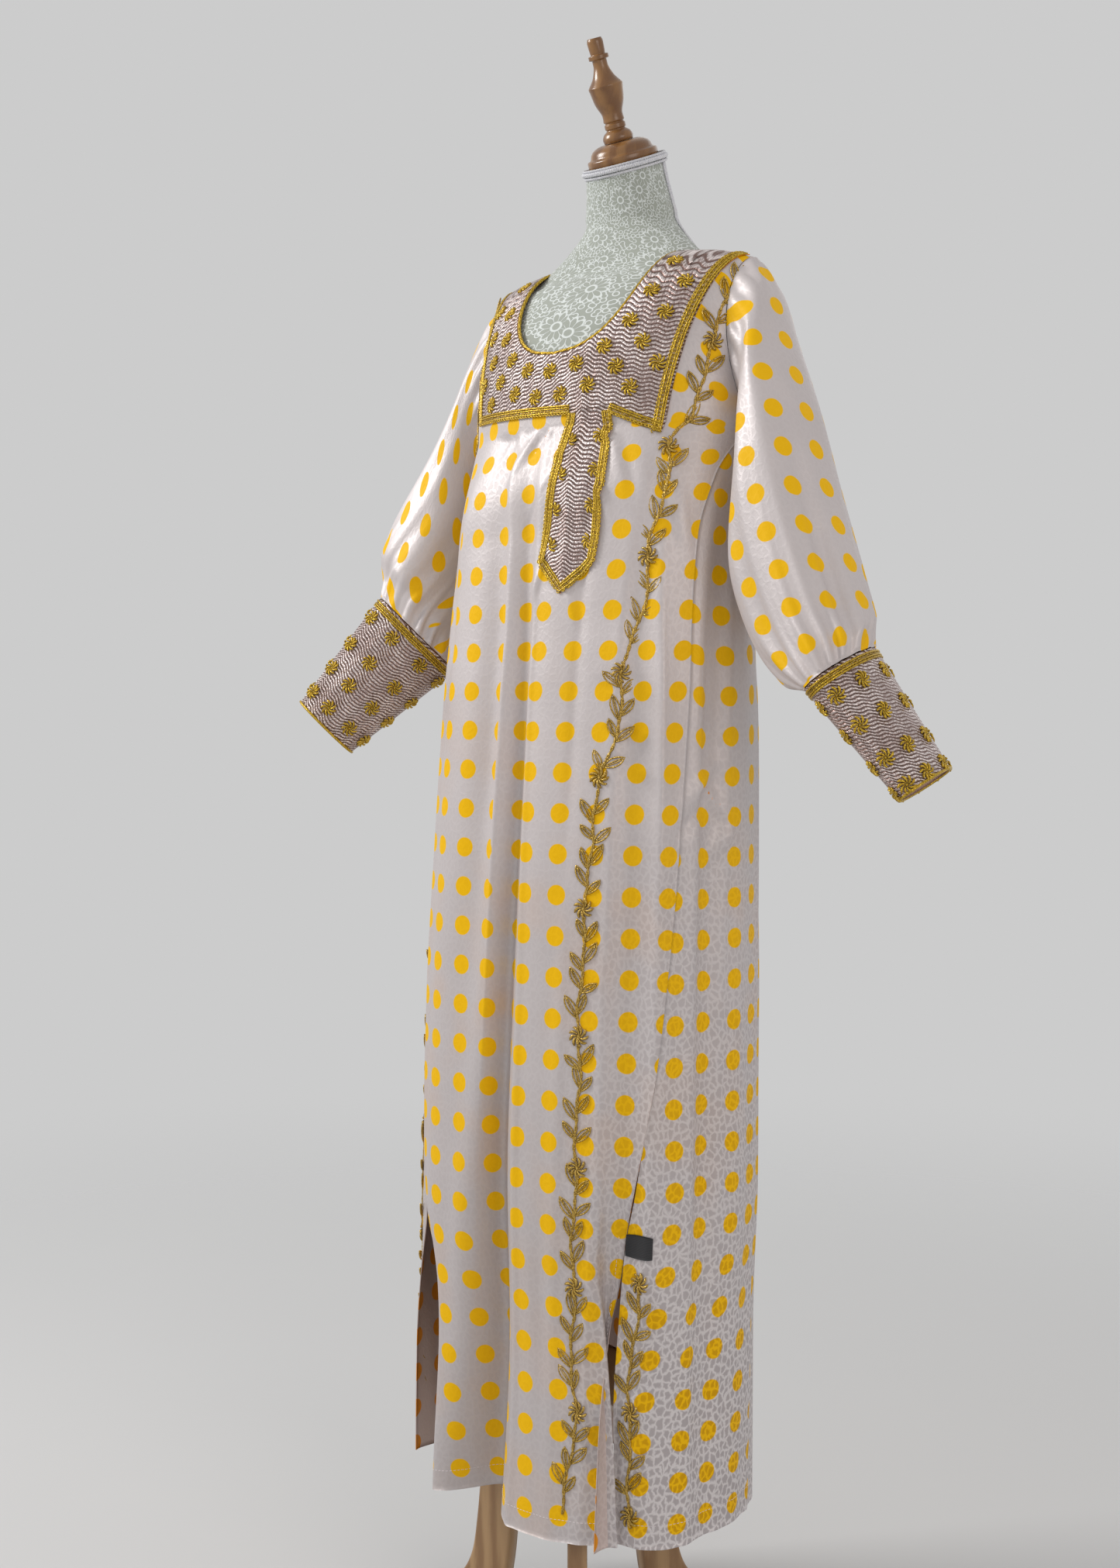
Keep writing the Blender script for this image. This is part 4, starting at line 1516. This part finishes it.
legLine = np.array([
    (0.0269, 0.338, 0.0269, 0.268), (0.0520, 0.328, 0.0440, 0.262), (0.0900, 0.292, 0.0620, 0.234), (0.1140, 0.236, 0.0760, 0.190),
    (0.1260, 0.172, 0.0830, 0.142), (0.1320, 0.116, 0.0860, 0.096), (0.1380, 0.076, 0.0920, 0.052), (0.1520, 0.046, 0.1050, 0.016),
    (0.1820, 0.029, 0.1300, 0.000), (0.2220, 0.020, 0.2220, 0.000),
])
corners = np.array([  # rounded board section: share from inner to outer, share across
    (0.00, -0.80), (0.00, 0.80), (0.03, 0.95), (0.08, 1.0), (0.92, 1.0), (0.97, 0.95), (1.00, 0.80), (1.00, -0.80),
    (0.97, -0.95), (0.92, -1.0), (0.08, -1.0), (0.03, -0.95),
])
for turn, node in turnings["legs"]:
    a = math.radians(turn)
    way, across = np.array([math.sin(a), -math.cos(a), 0]), np.array([math.cos(a), math.sin(a), 0])
    s = np.arange(len(legLine), dtype=float)
    t = np.linspace(0, len(legLine) - 1, 46)
    cols = smoothRows(np.column_stack([s, legLine]), t)
    rings = []
    for ro, zo, ri, zi in cols.T:
        o = np.array([*turnings["stand"], 0]) + way * ro + (0, 0, zo)
        i = np.array([*turnings["stand"], 0]) + way * ri + (0, 0, zi)
        rings.append([i + (o - i) * g + across * turnings["board"] * h for g, h in corners])
    ob = closedLathe(node.replace("_", "") + "Board", np.array(rings), [lightWood])
    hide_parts(node)
print("wood made")


# Floor, light and camera
studio = dict(grey=0.604, floorR=3.4, key=74.0, fill=22.0, back=8.0)


def makeFloor():
    mat, tree, bsdf = newMaterial("studioFloor", (0.60, 0.60, 0.60), 0.9)
    place = addNode(tree, "TexCoord").outputs["Object"]
    grain = addNode(tree, "TexNoise")
    grain.inputs["Scale"].default_value = 3
    tree.links.new(place, grain.inputs["Vector"])
    tree.links.new(blendColour(tree, grain.outputs[0], (0.595, 0.595, 0.595), (0.605, 0.605, 0.605)), bsdf.inputs["Base Color"])
    length = addNode(tree, "VectorMath", operation="LENGTH")
    tree.links.new(place, length.inputs[0])
    tree.links.new(ramp(tree, length.outputs["Value"], studio["floorR"], 0.9), bsdf.inputs["Alpha"])
    a = np.arange(96) * 2 * math.pi / 96
    verts = [(0, 0, 0)] + [(studio["floorR"] * math.cos(t), studio["floorR"] * math.sin(t), 0) for t in a]
    me = bpy.data.meshes.new("studioFloor")
    me.from_pydata(verts, [], [(0, k + 1, (k + 1) % 96 + 1) for k in range(96)])
    ob = bpy.data.objects.new("studioFloor", me)
    ob.location = (0, 0, -0.0005)
    scene.collection.objects.link(ob)
    me.materials.append(mat)


def areaLight(name, place, aim, size, energy, colour):
    light = bpy.data.lights.new(name, "AREA")
    light.energy, light.size, light.color = energy, size, colour
    ob = bpy.data.objects.new(name, light)
    scene.collection.objects.link(ob)
    ob.location = place
    way = np.array(aim) - np.array(place)
    ob.rotation_mode = "QUATERNION"
    ob.rotation_quaternion = Vector(way).to_track_quat("-Z", "Y")


makeFloor()
world = bpy.data.worlds.new("studio")
scene.world = world
world.use_nodes = True
world.node_tree.nodes["Background"].inputs["Color"].default_value = (studio["grey"],) * 3 + (1,)
areaLight("keyLight", (-2.3, -1.9, 3.0), (0, 0, 1.2), 1.1, studio["key"], (1.0, 0.985, 0.97))
areaLight("fillLight", (3.2, -1.2, 2.0), (0, 0, 1.1), 1.8, studio["fill"], (1.0, 0.88, 0.80))
areaLight("backLight", (-0.8, 3.0, 2.6), (0, 0, 1.1), 2.4, studio["back"], (1, 1, 1))

photo = dict(turn=42.0, distance=2.385, side=0.025, height=1.10, focal=2615.0, tall=2023.0, horizon=900.0)
a = math.radians(photo["turn"])
camData = bpy.data.cameras.new("photoCamera")
camera = bpy.data.objects.new("photoCamera", camData)
scene.collection.objects.link(camera)
camera.location = (
    photo["distance"] * math.sin(a) - photo["side"] * math.cos(a) - centre[0],
    -photo["distance"] * math.cos(a) - photo["side"] * math.sin(a) - centre[1],
    photo["height"],
)
camera.rotation_euler = (math.radians(90), 0, a)
camData.sensor_fit = "VERTICAL"
camData.sensor_height = 36
camData.lens = 36 * photo["focal"] / photo["tall"]
camData.shift_y = (photo["horizon"] - photo["tall"] / 2) / photo["tall"]
scene.camera = camera
scene.view_settings.view_transform = "Standard"
print("stage made")
